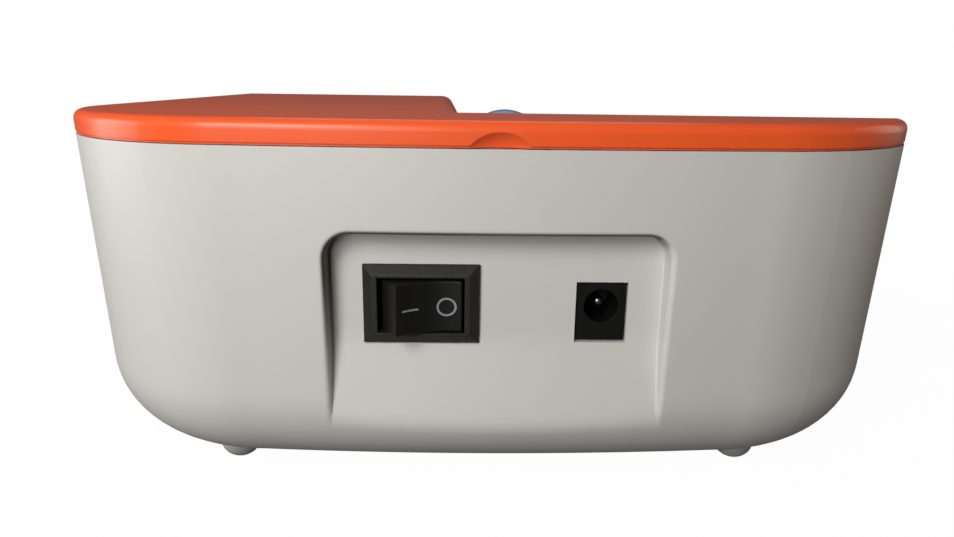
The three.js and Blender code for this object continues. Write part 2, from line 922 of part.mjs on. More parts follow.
// Power switch frame: chamfered bezel, snap-in body and an open well for the rocker
const wellWidth = bezelWidth - 2 * (bezelChamfer + bezelBand);
const wellHeight = bezelHeight - 2 * (bezelChamfer + bezelRail);
const bezelFront = panelY - bezelProud;

function bezelRing(inset, y) {
  const halfWidth = bezelWidth / 2 - inset;
  const halfHeight = bezelHeight / 2 - inset;
  return [
    [switchX - halfWidth, y, switchZ - halfHeight],
    [switchX + halfWidth, y, switchZ - halfHeight],
    [switchX + halfWidth, y, switchZ + halfHeight],
    [switchX - halfWidth, y, switchZ + halfHeight],
  ];
}

function frustum(rings) {
  const index = [];
  for (let ring = 0; ring < rings.length - 1; ring++) {
    for (let place = 0; place < 4; place++) {
      const a = ring * 4 + place;
      const b = ring * 4 + ((place + 1) % 4);
      index.push(a, a + 4, b + 4, a, b + 4, b);
    }
  }
  const last = (rings.length - 1) * 4;
  index.push(0, 1, 2, 0, 2, 3, last, last + 2, last + 1, last, last + 3, last + 2);
  const geometry = new THREE.BufferGeometry();
  geometry.setAttribute('position', new THREE.Float32BufferAttribute(rings.flat(2), 3));
  geometry.setIndex(index);
  return solid(geometry);
}

const bezelSideY = bezelFront + bezelChamferDepth;
const bezel = frustum([
  bezelRing(bezelChamfer, bezelFront),
  bezelRing(0, bezelSideY),
  bezelRing(0, panelY - seatGap),
]);
const switchBody = boxSolid(
  [switchX - switchBodyWidth / 2, bezelSideY, switchZ - switchBodyHeight / 2],
  [switchX + switchBodyWidth / 2, panelY + switchBodyDepth, switchZ + switchBodyHeight / 2],
);
const switchWell = boxSolid(
  [switchX - wellWidth / 2, bezelFront - overrun, switchZ - wellHeight / 2],
  [switchX + wellWidth / 2, panelY + switchBodyDepth - switchWall, switchZ + wellHeight / 2],
);
add('switch_frame', cut(joined(bezel, switchBody), switchWell), 'blackPlastic');

// Rocker: a dished key that turns about a vertical pin, shown with its O end pressed
const rockerHalfWidth = wellWidth / 2 - slideGap;
const rockerHalfHeight = wellHeight / 2 - slideGap;
const rockerTopHalf = (rockerHalfWidth - rockerEndRise * Math.sin(rockerThrow)) / Math.cos(rockerThrow);
const dishRadius = (rockerTopHalf ** 2 + rockerDish ** 2) / (2 * rockerDish);
const dishTurn = Math.asin(rockerTopHalf / dishRadius);
const dishSteps = 8;
const rockerOutline = [
  [-rockerHeelHalfWidth, rockerHeelDepth],
  [-rockerHalfWidth, 0],
];
for (let step = 0; step <= dishSteps; step++) {
  const turn = dishTurn * ((2 * step) / dishSteps - 1);
  const sink = dishRadius * (Math.cos(turn) - Math.cos(dishTurn));
  rockerOutline.push([dishRadius * Math.sin(turn), sink - rockerEndRise]);
}
rockerOutline.push([rockerHalfWidth, 0], [rockerHeelHalfWidth, rockerHeelDepth]);
const rocker = add(
  'switch_rocker',
  slab(rockerOutline, -rockerHalfHeight, rockerHalfHeight).rotateZ(rockerThrow),
  'blackPlastic',
);
rocker.position.set(switchX, panelY + rockerPivotDepth - bezelProud, switchZ);

// Blade terminals at the back of the switch
[-1, 1].forEach((side, place) => {
  const x = switchX + (side * terminalSpacing) / 2;
  const rear = panelY + switchBodyDepth + seatGap;
  add(
    `switch_terminal_${place + 1}`,
    box(
      [x - terminalThickness / 2, rear, switchZ - terminalWidth / 2],
      [x + terminalThickness / 2, rear + terminalLength, switchZ + terminalWidth / 2],
    ),
    'steel',
  );
});

// Barrel inlet: body with its bore, centre pin and sprung contact leaf
const jackFace = panelY + jackSetBack;
const boreZ = jackZ + jackTall / 2 - jackBoreFromTop;
const boreEnd = jackFace + jackBoreDepth;
const jackBlock = boxSolid(
  [jackX - jackWidth / 2, jackFace, jackZ - jackTall / 2],
  [jackX + jackWidth / 2, jackFace + jackDepth, jackZ + jackTall / 2],
);
const jackBore = solid(barY(jackBoreRadius, jackFace - overrun, boreEnd, jackX, boreZ, 28));
const pinBore = solid(barY(jackPinRadius + seatGap, jackFace, boreEnd + wall, jackX, boreZ, 12));
const contactLow = boreZ - jackBoreRadius - contactThickness;
const contactSlot = boxSolid(
  [jackX - contactWidth / 2 - seatGap, jackFace + contactSetBack, contactLow - seatGap],
  [jackX + contactWidth / 2 + seatGap, boreEnd, boreZ],
);
add('jack_body', cut(jackBlock, jackBore, pinBore, contactSlot), 'blackPlastic');
add(
  'jack_pin',
  barY(jackPinRadius, jackFace + jackPinSetBack, boreEnd + wall - seatGap, jackX, boreZ, 12),
  'steel',
);
add(
  'jack_contact',
  box(
    [jackX - contactWidth / 2, jackFace + contactSetBack + seatGap, contactLow],
    [jackX + contactWidth / 2, boreEnd - seatGap, contactLow + contactThickness],
  ),
  'steel',
);
add(
  'power_board',
  box(
    [powerBoardX - powerBoardWidth / 2, powerBoardY - powerBoardLength / 2, powerBoardZ],
    [
      powerBoardX + powerBoardWidth / 2,
      powerBoardY + powerBoardLength / 2,
      powerBoardZ + boardThickness,
    ],
  ),
  'board',
);
const capacitorX = powerBoardX + powerBoardWidth / 2 - capacitorRadius;
const capacitorBase = powerBoardZ + boardThickness + seatGap;
add(
  'filter_capacitor',
  disc(capacitorRadius, capacitorBase, capacitorBase + capacitorHeight, capacitorX, powerBoardY),
  'blackPlastic',
);

// Start button: domed cap with a retaining flange and a stem over the tact switch
const tactTop = boardTop + tactHeight + tactPlungerHeight;
const stemBottom = tactTop + buttonTravel + seatGap / 2;
const domeTurn = Math.asin(buttonRadius / domeRadius);
const buttonProfile = [[0, stemBottom], [stemRadius, stemBottom]];
const flangeTop = -wall - seatGap;
buttonProfile.push([stemRadius, flangeTop - flangeThickness]);
buttonProfile.push([buttonRadius + flangeWidth, flangeTop - flangeThickness]);
buttonProfile.push([buttonRadius + flangeWidth, flangeTop]);
buttonProfile.push([buttonRadius, flangeTop]);
const capSteps = 5;
for (let step = 0; step <= capSteps; step++) {
  const turn = domeTurn * (1 - step / capSteps);
  const rise = domeRadius * (Math.cos(turn) - Math.cos(domeTurn));
  buttonProfile.push([domeRadius * Math.sin(turn), domeBase + rise]);
}
add('start_button', turned(buttonProfile, 28), 'blueKey', deck).position.set(buttonX, buttonAlong, 0);
const tactBody = boxSolid(
  [buttonX - tactWidth / 2, buttonAlong - tactWidth / 2, boardTop + seatGap],
  [buttonX + tactWidth / 2, buttonAlong + tactWidth / 2, boardTop + tactHeight],
);
const tactPlunger = solid(
  disc(tactPlungerRadius, boardTop + tactHeight / 2, tactTop, buttonX, buttonAlong, 12),
);
add('tact_switch', joined(tactBody, tactPlunger), 'blackPlastic', deck);

// Display glass in its seat, the panel behind it and the board that carries both
add(
  'display_glass',
  slab(
    roundedBlock(glassWidth, glassLength, glassRadius, glassX, glassMid),
    ledgeTop + seatGap / 2,
    -seatGap / 2,
  ),
  'glass',
  deck,
);
add(
  'lcd_module',
  box(
    [glassX - glassWidth / 2 + seatGap, glassStart + seatGap, lcdTop - lcdThickness],
    [glassX + glassWidth / 2 - seatGap, glassStart + glassLength - seatGap, lcdTop],
  ),
  'steel',
  deck,
);
const boardBlank = boxSolid(
  [boardX - boardWidth / 2, boardStart, boardTop - boardThickness],
  [boardX + boardWidth / 2, boardStart + boardLength, boardTop],
);
const boardHoleCuts = boardHoles.map(([x, y]) => {
  return solid(disc(boardScrewRadius + seatGap, boardTop - wall, boardTop + wall, x, y, 12));
});
add('main_board', cut(boardBlank, ...boardHoleCuts), 'board', deck);
boardHoles.forEach(([x, y], place) => {
  const seat = boardTop - boardThickness - seatGap;
  const profile = [
    [0, seat - boardScrewHeadHeight],
    [boardScrewHeadRadius, seat - boardScrewHeadHeight],
    [boardScrewHeadRadius, seat],
    [boardScrewRadius, seat],
    [boardScrewRadius, -wall - 2 * seatGap],
    [0, -wall - 2 * seatGap],
  ];
  add(`board_screw_${place + 1}`, turned(profile, 12), 'steel', deck).position.set(x, y, 0);
});
const underBoard = boardTop - boardThickness - seatGap;
const chipX = boardX - chipSize / 2;
const chipY = boardMid - chipSize / 2;
add(
  'processor',
  box([chipX, chipY, underBoard - chipHeight], [chipX + chipSize, chipY + chipSize, underBoard]),
  'blackPlastic',
  deck,
);
add(
  'buzzer',
  disc(buzzerRadius, underBoard - buzzerHeight, underBoard, boardX + 2 * chipSize, chipY),
  'blackPlastic',
  deck,
);

// Cartridge tray with its pocket, side tongues and rack
const trayLeft = trayX - trayWidth / 2;
const trayRight = trayX + trayWidth / 2;
const trayTop = trayBottom + trayHeight;
const pitch = Math.PI * toothModule;
const pitchRadius = (toothModule * pinionTeeth) / 2;
const addendum = toothModule;
const dedendum = toothModule * 1.25;
const rackPitchX = trayLeft - dedendum;
const rackLow = trayBottom + tongueThickness + railLip + 2 * seatGap + rackDrop;
const rackHigh = rackLow + pinionHeight;
const rackBack = traySlide + rackRunOn;
const rackTeeth = Math.floor((rackBack + rackRunOn) / pitch);
const rackFront = pinionY + rackRunOn;

// Straight-sided rack teeth. A tooth space faces the pinion's own tooth at rest.
function rackOutline() {
  const outline = [[trayLeft + dedendum, rackFront - rackTeeth * pitch]];
  outline.push([trayLeft + dedendum, rackFront]);
  const slopeOut = Math.tan(pressureAngle) * addendum;
  const slopeIn = Math.tan(pressureAngle) * dedendum;
  const halfTooth = pitch / 4 - backlash / 4;
  const toothCentre = pinionY + pitch / 2;
  const ahead = Math.floor((rackFront - toothCentre - pitch / 2) / pitch);
  outline.push([trayLeft, rackFront]);
  for (let tooth = ahead; tooth > ahead - rackTeeth + 1; tooth--) {
    const centre = toothCentre + tooth * pitch;
    outline.push([trayLeft, centre + halfTooth + slopeIn]);
    outline.push([rackPitchX - addendum, centre + halfTooth - slopeOut]);
    outline.push([rackPitchX - addendum, centre - halfTooth + slopeOut]);
    outline.push([trayLeft, centre - halfTooth - slopeIn]);
  }
  outline.push([trayLeft, rackFront - rackTeeth * pitch]);
  return outline;
}

const trayBlock = boxSolid([trayLeft, trayRear, trayBottom], [trayRight, trayFront, trayTop]);
const trayTongues = boxSolid(
  [trayLeft - tongueWidth, trayRear, trayBottom],
  [trayRight + tongueWidth, railFront, trayBottom + tongueThickness],
);
const pocketFront = trayFront - pocketFromFront;
const pocketFloor = trayTop - pocketDepth;
const pocket = boxSolid(
  [trayX - pocketWidth / 2, pocketFront - pocketLength, pocketFloor],
  [trayX + pocketWidth / 2, pocketFront, trayTop + overrun],
);
const readWindow = boxSolid(
  [trayX - pocketWidth / 4, headY - windowLength / 2, trayBottom - overrun],
  [trayX + pocketWidth / 4, headY + windowLength / 2, trayTop],
);
const flag = boxSolid(
  [trayX - flagWidth / 2, trayRear - flagLength, flagLow],
  [trayX + flagWidth / 2, trayRear + flagWidth, flagLow + flagHeight],
);
const rack = solid(slab(rackOutline(), rackLow, rackHigh));
add(
  'cartridge_tray',
  cut(joined(trayBlock, trayTongues, flag, rack), pocket, readWindow),
  'whitePlastic',
);

// The tray's front is a piece of the case wall itself, with a moulded pull along its middle.
const frontBlank = boxSolid(
  [trayX - frontWidth / 2, frontY - planRadius, trayMid - frontHeight / 2],
  [trayX + frontWidth / 2, frontY + overrun, trayMid + frontHeight / 2],
);
const pull = boxSolid(
  [trayX - frontWidth / 4, trayFront + wall, trayMid - pullHeight / 2],
  [trayX + frontWidth / 4, frontY - draftShare * (seamZ - trayMid) + pullDepth, trayMid + pullHeight / 2],
);
add('tray_front', joined(cut(tubWhole, tubInner).intersect(frontBlank), pull), 'greyCase');

// Rails: a channel round each tongue, on two posts
function rail(name, side) {
  const inner = trayWidth / 2 + tongueWidth + seatGap;
  const outer = inner + railWall;
  const lipIn = trayWidth / 2 + seatGap;
  const low = trayBottom - seatGap - railDepth;
  const shelf = trayBottom - seatGap;
  const lipLow = trayBottom + tongueThickness + seatGap;
  const outline = [
    [lipIn, low],
    [outer, low],
    [outer, lipLow + railLip],
    [lipIn, lipLow + railLip],
    [lipIn, lipLow],
    [inner, lipLow],
    [inner, shelf],
    [lipIn, shelf],
  ].map(([x, z]) => [trayX + side * x, z]);
  if (side < 0) outline.reverse();
  const posts = [railPostRearY, railPostFrontY].map((y) => {
    const near = trayX + side * (lipIn + railLip);
    const far = trayX + side * outer;
    return boxSolid(
      [Math.min(near, far), y, floorZ + seatGap],
      [Math.max(near, far), y + railPostLength, low + railDepth / 2],
    );
  });
  add(name, joined(solid(prismY(outline, railRear, railFront)), ...posts), 'blackPlastic');
}

rail('tray_rail_left', -1);
rail('tray_rail_right', 1);

// Pinion with involute teeth, on the motor's shaft
function pinionOutline() {
  const base = pitchRadius * Math.cos(pressureAngle);
  const tip = pitchRadius + addendum - backlash / 2;
  const root = pitchRadius - dedendum;
  const involute = (radius) => {
    const angle = Math.acos(Math.min(1, base / radius));
    return Math.tan(angle) - angle;
  };
  const halfAtPitch = (pitch / 2 - backlash / 2) / (2 * pitchRadius);
  const halfAt = (radius) => halfAtPitch + involute(pitchRadius) - involute(radius);
  const flankSteps = 3;
  const radii = [root];
  for (let step = 0; step <= flankSteps; step++) {
    radii.push(base + ((tip - base) * step) / flankSteps);
  }
  const outline = [];
  for (let tooth = 0; tooth < pinionTeeth; tooth++) {
    const middle = (2 * Math.PI * tooth) / pinionTeeth;
    for (const radius of radii) {
      const turn = middle - halfAt(Math.max(radius, base));
      outline.push([radius * Math.cos(turn), radius * Math.sin(turn)]);
    }
    for (const radius of [...radii].reverse()) {
      const turn = middle + halfAt(Math.max(radius, base));
      outline.push([radius * Math.cos(turn), radius * Math.sin(turn)]);
    }
  }
  return outline;
}

const pinionX = rackPitchX - pitchRadius;
const pinionBore = solid(disc(shaftRadius + seatGap, rackLow - overrun, rackHigh + overrun));
const pinionBlank = solid(slab(pinionOutline(), rackLow, rackHigh));
add('drive_pinion', cut(pinionBlank, pinionBore), 'whitePlastic').position.set(pinionX, pinionY, 0);

// Stepper motor above its bracket, shaft down through the pinion
const plateLow = Math.max(rackHigh, trayTop) + 2 * seatGap;
const motorLow = plateLow + bracketThickness + seatGap;
const motorBlank = joined(
  solid(disc(motorRadius, motorLow, motorLow + motorHeight, pinionX, pinionY)),
  solid(slab(
    roundedBlock(2 * (motorEarSpread + motorEarRadius), 2 * motorEarRadius, motorEarRadius, 0, 0),
    motorLow,
    motorLow + bracketThickness,
  ).rotateZ(Math.PI / 2).translate(pinionX, pinionY, 0)),
);
const motorBore = solid(disc(
  shaftRadius + seatGap,
  motorLow - overrun,
  motorLow + motorHeight / 2,
  pinionX,
  pinionY,
  12,
));
add('stepper_motor', cut(motorBlank, motorBore), 'steel');
add(
  'motor_shaft',
  disc(shaftRadius, rackLow - seatGap, motorLow + motorHeight / 2 - seatGap, pinionX, pinionY, 12),
  'steel',
);
const bracketX = pinionX - pitchRadius - bracketReach;
const bracketPlate = slab(
  roundedBlock(
    trayLeft - seatGap - bracketX,
    2 * (motorEarSpread + motorEarRadius),
    motorEarRadius,
    (trayLeft - seatGap + bracketX) / 2,
    pinionY,
  ),
  plateLow,
  plateLow + bracketThickness,
);
const bracketWall = boxSolid(
  [bracketX, pinionY - bracketLength / 2, floorZ + seatGap],
  [bracketX + bracketThickness, pinionY + bracketLength / 2, plateLow + bracketThickness],
);
const bracketFoot = boxSolid(
  [bracketX, pinionY - bracketLength / 2, floorZ + seatGap],
  [bracketX + bracketFootLength, pinionY + bracketLength / 2, floorZ + seatGap + bracketThickness],
);
const bracketBore = solid(disc(bracketHoleRadius, plateLow - overrun, motorLow, pinionX, pinionY, 16));
add(
  'motor_bracket',
  cut(joined(solid(bracketPlate), bracketWall, bracketFoot), bracketBore),
  'steel',
);

// Forked light sensor that reads the tray's tail flag
const forkHalf = sensorSlot / 2 + sensorArm;
const sensorBlank = boxSolid(
  [trayX - forkHalf, sensorY - sensorLength / 2, sensorZ],
  [trayX + forkHalf, sensorY + sensorLength / 2, sensorZ + sensorHeight],
);
const sensorGapCut = boxSolid(
  [trayX - sensorSlot / 2, sensorY - sensorLength, sensorZ + sensorBase],
  [trayX + sensorSlot / 2, sensorY + sensorLength, sensorZ + sensorHeight + overrun],
);
add('tray_sensor', cut(sensorBlank, sensorGapCut), 'blackPlastic');

// Optical head on a bridge over the tray
const bridgeLow = trayTop + headClearance;
const bridgeTop = bridgeLow + headBridgeThickness;
const bridgeOuter = headBridgeHalfWidth;
const bridgeBlank = boxSolid(
  [trayX - bridgeOuter, headY - headLength / 2, floorZ + seatGap],
  [trayX + bridgeOuter, headY + headLength / 2, bridgeTop],
);
const bridgeSpan = boxSolid(
  [trayX - bridgeOuter + headLegWidth, headY - headLength, floorZ - overrun],
  [trayX + bridgeOuter - headLegWidth, headY + headLength, bridgeLow],
);
const bridgeHole = solid(disc(lensRadius, bridgeLow - overrun, bridgeTop + overrun, trayX, headY));
const headLow = bridgeTop + seatGap;
const headTop = headLow + headTall;
add('head_bridge', cut(bridgeBlank, bridgeSpan, bridgeHole), 'blackPlastic');

const headBlank = boxSolid(
  [trayX - headWidth / 2, headY - headLength / 2, headLow],
  [trayX + headWidth / 2, headY + headLength / 2, headTop],
);
const lensHigh = headLow + boreWall + lensThickness + seatGap;
const lensBore = solid(disc(lensRadius + seatGap, headLow + boreWall, headTop + overrun, trayX, headY));
const lightBore = solid(disc(lensRadius - boreWall, headLow - overrun, headTop, trayX, headY));
const ledAt = new THREE.Vector3(trayX, headY + headLength / 4, headLow + headTall / 2);

function ledRod(radius, start, end) {
  const geometry = disc(radius, start, end, 0, 0, 14);
  return geometry.rotateX(-ledTilt).translate(ledAt.x, ledAt.y, ledAt.z);
}

const ledBore = solid(ledRod(ledRadius + seatGap, 0, headTall));
const ledPath = solid(ledRod(ledRadius / 2, -headTall, overrun));
add('optical_head', cut(headBlank, lensBore, lightBore, ledBore, ledPath), 'blackPlastic');
add(
  'head_lens',
  disc(lensRadius, headLow + boreWall + seatGap, lensHigh, trayX, headY),
  'clearGlass',
);
add(
  'head_filter',
  disc(lensRadius, lensHigh + seatGap, lensHigh + seatGap + filterThickness, trayX, headY),
  'clearGlass',
);
add(
  'photodiode_board',
  box(
    [trayX - headWidth / 2, headY - headLength / 2, headTop + seatGap],
    [trayX + headWidth / 2, headY + lensRadius + boreWall, headTop + seatGap + sensorBoardThickness],
  ),
  'board',
);
add('excitation_led', ledRod(ledRadius, seatGap, ledLength), 'clearGlass');

// Printer bay: an open bucket for the paper roll, hung under the slope by its flange
const bayTop = -wall - seatGap;
const bayStart = doorStart - exitSlit;
const bayBlank = box([-bayHalf, bayStart, bayTop - bayDepth], [bayHalf, bayEnd, bayTop]);
const bayHollow = box(
  [-bayHalf + bayWall, bayStart - overrun, bayTop - bayDepth + bayWall],
  [bayHalf - bayWall, bayEnd - bayWall, overrun],
);
const bayRear = box(
  [-bayHalf, bayStart + printHeadThickness, bayTop - bayDepth],
  [bayHalf, bayStart + printHeadThickness + bayWall, bayTop - bayDepth / 2],
);
const flangeBlank = box(
  [-bayHalf - bayFlange, bayStart, bayTop - bayFlangeThickness],
  [bayHalf + bayFlange, bayEnd, bayTop],
);
const flangeHole = box(
  [-bayHalf + bayWall, bayStart - overrun, bayTop - bayDepth],
  [bayHalf - bayWall, bayEnd - bayWall, overrun],
);
const knuckleHalf = bayHalf - knuckleWidth;
const hingeZ = -barrelRadius;
const knuckles = [-1, 1].map((side) => {
  const near = side < 0 ? -bayHalf : knuckleHalf;
  return solid(barX(barrelRadius, near, near + knuckleWidth, hingeAlong, hingeZ, 20));
});
const pinHalf = bayHalf - seatGap * 2;
const pinBores = solid(
  barX(hingePinRadius + seatGap, -pinHalf - seatGap, pinHalf + seatGap, hingeAlong, hingeZ),
);
const barrelRoom = solid(barX(
  barrelRadius + slideGap,
  -knuckleHalf,
  knuckleHalf,
  hingeAlong,
  hingeZ,
  24,
));
add(
  'printer_bay',
  cut(
    joined(
      cut(joined(solid(bayBlank), solid(flangeBlank)), solid(bayHollow), solid(flangeHole)),
      solid(bayRear),
      ...knuckles,
    ),
    pinBores,
    barrelRoom,
  ),
  'blackPlastic',
  printer,
);
add('hinge_pin', barX(hingePinRadius, -pinHalf, pinHalf, hingeAlong, hingeZ, 12), 'steel', printer);

// Paper door: flush plate, hinge barrel and two ears that hold the platen
const barrelHalf = knuckleHalf - slideGap;
const plateEnd = hingeAlong - barrelRadius - slideGap;
const doorPlate = boxSolid([-doorHalf, doorStart, -doorThickness], [doorHalf, plateEnd, 0]);
const doorTail = boxSolid([-barrelHalf, plateEnd - wall, -doorThickness], [barrelHalf, hingeAlong, 0]);
const doorBarrel = solid(barX(barrelRadius, -barrelHalf, barrelHalf, hingeAlong, hingeZ, 24));
const earHalf = platenLength / 2 + seatGap;
const ears = [-1, 1].map((side) => {
  const near = side < 0 ? -earHalf - platenEar : earHalf;
  const far = near + platenEar;
  const plate = boxSolid(
    [near, platenAlong - platenEarRadius, -platenDepth],
    [far, platenAlong + platenEarRadius, -doorThickness / 2],
  );
  return plate.add(solid(barX(platenEarRadius, near, far, platenAlong, -platenDepth, 16)));
});
const coreHalf = earHalf + platenEar - seatGap;
const coreBore = solid(barX(
  platenCoreRadius + seatGap,
  -coreHalf - seatGap / 2,
  coreHalf + seatGap / 2,
  platenAlong,
  -platenDepth,
));
const doorPinBore = solid(barX(hingePinRadius + seatGap, -doorHalf, doorHalf, hingeAlong, hingeZ));
add(
  'printer_door',
  cut(joined(doorPlate, doorTail, doorBarrel, ...ears), coreBore, doorPinBore),
  'orangeCover',
  printer,
);
add(
  'platen_roller',
  joined(
    solid(barX(platenRadius, -platenLength / 2, platenLength / 2, platenAlong, -platenDepth, 20)),
    solid(barX(platenCoreRadius, -coreHalf, coreHalf, platenAlong, -platenDepth, 12)),
  ),
  'blackPlastic',
  printer,
);

// Print head behind the platen, and the tear bar at the paper slit
const headAlong = platenAlong - platenRadius - seatGap;
const headBarHalf = bayHalf - bayWall - seatGap;
add(
  'print_head',
  box(
    [-headBarHalf, headAlong - printHeadThickness, -platenDepth + printHeadRise - printHeadHeight],
    [headBarHalf, headAlong, -platenDepth + printHeadRise],
  ),
  'steel',
  printer,
);
add(
  'tear_bar',
  box(
    [-platenLength / 2, bayStart - tearBarWidth - seatGap, bayTop - tearBarHeight],
    [platenLength / 2, bayStart - seatGap, bayTop],
  ),
  'steel',
  printer,
);

// Door release key above the slit
const releaseLow = -wall - seatGap - flangeThickness;
const releaseKey = joined(
  boxSolid(
    [-releaseWidth / 2, releaseAlong - releaseLength / 2, releaseLow],
    [releaseWidth / 2, releaseAlong + releaseLength / 2, releaseProud],
  ),
  boxSolid(
    [-releaseWidth / 2 - flangeWidth, releaseAlong - releaseLength / 2, releaseLow],
    [releaseWidth / 2 + flangeWidth, releaseAlong + releaseLength / 2, releaseLow + flangeThickness],
  ),
);
add('door_release', releaseKey, 'blueKey', printer);

// Leads between the switch, the inlet board and the main board
function lead(name, points, finish) {
  const path = new THREE.CatmullRomCurve3(points.map((point) => new THREE.Vector3(...point)));
  const outline = [];
  const sides = 8;
  for (let side = 0; side < sides; side++) {
    const turn = (2 * Math.PI * side) / sides;
    outline.push([leadRadius * Math.cos(turn), leadRadius * Math.sin(turn)]);
  }
  const settings = { steps: points.length * 3, extrudePath: path, bevelEnabled: false };
  add(name, new THREE.ExtrudeGeometry(shapeOf(outline), settings), finish);
}

const bladeEnd = panelY + switchBodyDepth + seatGap + terminalLength + seatGap + leadRadius / 2;
const bladeX = switchX + terminalSpacing / 2;
const boardRearEdge = new THREE.Vector3(0, boardStart, boardTop - boardThickness).applyMatrix4(deck.matrix);
lead(
  'switch_lead',
  [
    [bladeX, bladeEnd, switchZ],
    [bladeX, bladeEnd + leadBend, switchZ],
    [bladeX + leadBend, bladeEnd + 2 * leadBend, switchZ - leadBend / 2],
    [bladeX + leadRun / 2 + leadBend / 2, bladeEnd + 2 * leadBend, switchZ - leadBend * 0.75],
    [bladeX + leadRun - leadBend / 2, bladeEnd + leadBend, switchZ - leadBend],
    [bladeX + leadRun, bladeEnd - leadBend / 2, powerBoardZ + boardThickness + leadRadius + 2 * seatGap],
  ],
  'redLead',
);
lead(
  'board_lead',
  [
    [switchX - terminalSpacing / 2, bladeEnd, switchZ],
    [switchX - terminalSpacing / 2, bladeEnd + leadBend, switchZ + leadBend / 2],
    [switchX - terminalSpacing / 4, bladeEnd + 2 * leadBend, switchZ + leadRun / 2],
    [switchX + terminalSpacing, bladeEnd + 3 * leadBend, switchZ + leadRun - leadBend / 2],
    [boardLeft + leadBend, boardRearEdge.y + leadBend, boardRearEdge.z - leadBend],
  ],
  'blackPlastic',
);

export default analyzer;
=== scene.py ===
# Desktop analyzer with a wedge-shaped two-part case, seen from its rear panel.
# Metres, +Z up. The rear panel faces -Y and the feet stand on z = 0.

import json
import math

import bpy
import numpy as np
from mathutils import Matrix, Vector


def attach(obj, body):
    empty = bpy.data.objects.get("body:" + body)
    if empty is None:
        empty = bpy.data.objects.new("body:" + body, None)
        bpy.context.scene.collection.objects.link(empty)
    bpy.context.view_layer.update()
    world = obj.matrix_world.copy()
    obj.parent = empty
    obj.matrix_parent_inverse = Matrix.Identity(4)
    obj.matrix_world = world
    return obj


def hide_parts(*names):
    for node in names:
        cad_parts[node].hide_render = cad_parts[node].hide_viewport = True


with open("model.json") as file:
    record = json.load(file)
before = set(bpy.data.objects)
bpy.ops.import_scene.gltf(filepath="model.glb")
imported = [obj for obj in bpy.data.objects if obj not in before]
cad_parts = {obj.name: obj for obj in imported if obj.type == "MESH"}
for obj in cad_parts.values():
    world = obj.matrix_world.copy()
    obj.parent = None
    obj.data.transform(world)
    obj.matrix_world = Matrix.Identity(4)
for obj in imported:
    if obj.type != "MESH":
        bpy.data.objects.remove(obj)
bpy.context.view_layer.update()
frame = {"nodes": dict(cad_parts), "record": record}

# Camera. Its place and lens were fitted to the edges in the picture: a wide lens 120 mm behind
# the rear panel, just above the height of the cover and tipped down a little.
MM = 0.001
camera_place = Vector((-6.28, -227.89, 80.64)) * MM
camera_pitch = math.radians(14.904)
camera_yaw = math.radians(1.248)
camera_roll = math.radians(0.802)
camera_lens = 27.125
camera_near = 0.01
sensor_width = 36

ahead = Vector(
    (
        math.sin(camera_yaw) * math.cos(camera_pitch),
        math.cos(camera_yaw) * math.cos(camera_pitch),
        -math.sin(camera_pitch),
    )
)
level_right = Vector((math.cos(camera_yaw), -math.sin(camera_yaw), 0))
level_up = level_right.cross(ahead)
camera_right = level_right * math.cos(camera_roll) + level_up * math.sin(camera_roll)
camera_up = level_up * math.cos(camera_roll) - level_right * math.sin(camera_roll)
bpy.ops.object.camera_add()
camera = bpy.context.object
camera.matrix_world = Matrix.Translation(camera_place) @ Matrix(
    (camera_right, camera_up, -ahead)
).transposed().to_4x4()
camera.data.lens = camera_lens
camera.data.sensor_width = sensor_width
camera.data.clip_start = camera_near
bpy.context.scene.camera = camera
bpy.context.scene.view_settings.view_transform = "Standard"


# Room. A studio with a white backdrop all round. The camera sees the backdrop's white, polished
# skins mirror it as a grey, and the object is otherwise lit by a dim room.
def linear(colour):
    """An sRGB hex colour as the linear RGBA that a shader takes."""
    parts = [int(colour[place : place + 2], 16) / 255 for place in (1, 3, 5)]
    curve = [c / 12.92 if c <= 0.04045 else ((c + 0.055) / 1.055) ** 2.4 for c in parts]
    return (*curve, 1)


def add_node(tree, kind, links=None, **settings):
    """Adds one node to a tree. links gives an input's name or place a value or a node's output."""
    made = tree.nodes.new(kind)
    for name, value in settings.items():
        setattr(made, name, value)
    for name, value in (links or {}).items():
        if isinstance(value, bpy.types.NodeSocket):
            tree.links.new(value, made.inputs[name])
        else:
            made.inputs[name].default_value = value
    return made


room_grey = linear("#3B3A39")
mirrored_grey = linear("#625F5C")
backdrop_white = linear("#FFFFFF")

world = bpy.data.worlds.new("studio")
bpy.context.scene.world = world
world.use_nodes = True
sky = world.node_tree
sky.nodes.clear()
room = add_node(sky, "ShaderNodeBackground", {0: room_grey, 1: 1.0})
mirrored = add_node(sky, "ShaderNodeBackground", {0: mirrored_grey, 1: 1.0})
white = add_node(sky, "ShaderNodeBackground", {0: backdrop_white, 1: 1.0})
seen = add_node(sky, "ShaderNodeLightPath")
unseen = add_node(
    sky,
    "ShaderNodeMixShader",
    {0: seen.outputs["Is Glossy Ray"], 1: room.outputs[0], 2: mirrored.outputs[0]},
)
chosen = add_node(
    sky,
    "ShaderNodeMixShader",
    {0: seen.outputs["Is Camera Ray"], 1: unseen.outputs[0], 2: white.outputs[0]},
)
add_node(sky, "ShaderNodeOutputWorld", {0: chosen.outputs[0]})

# Lights. Soft windows near the left of the picture and behind the camera, so the light falls off
# to the right, a far one that grazes the left corner, and weak fills all round.
lit_point = Vector((0, -95, 42))


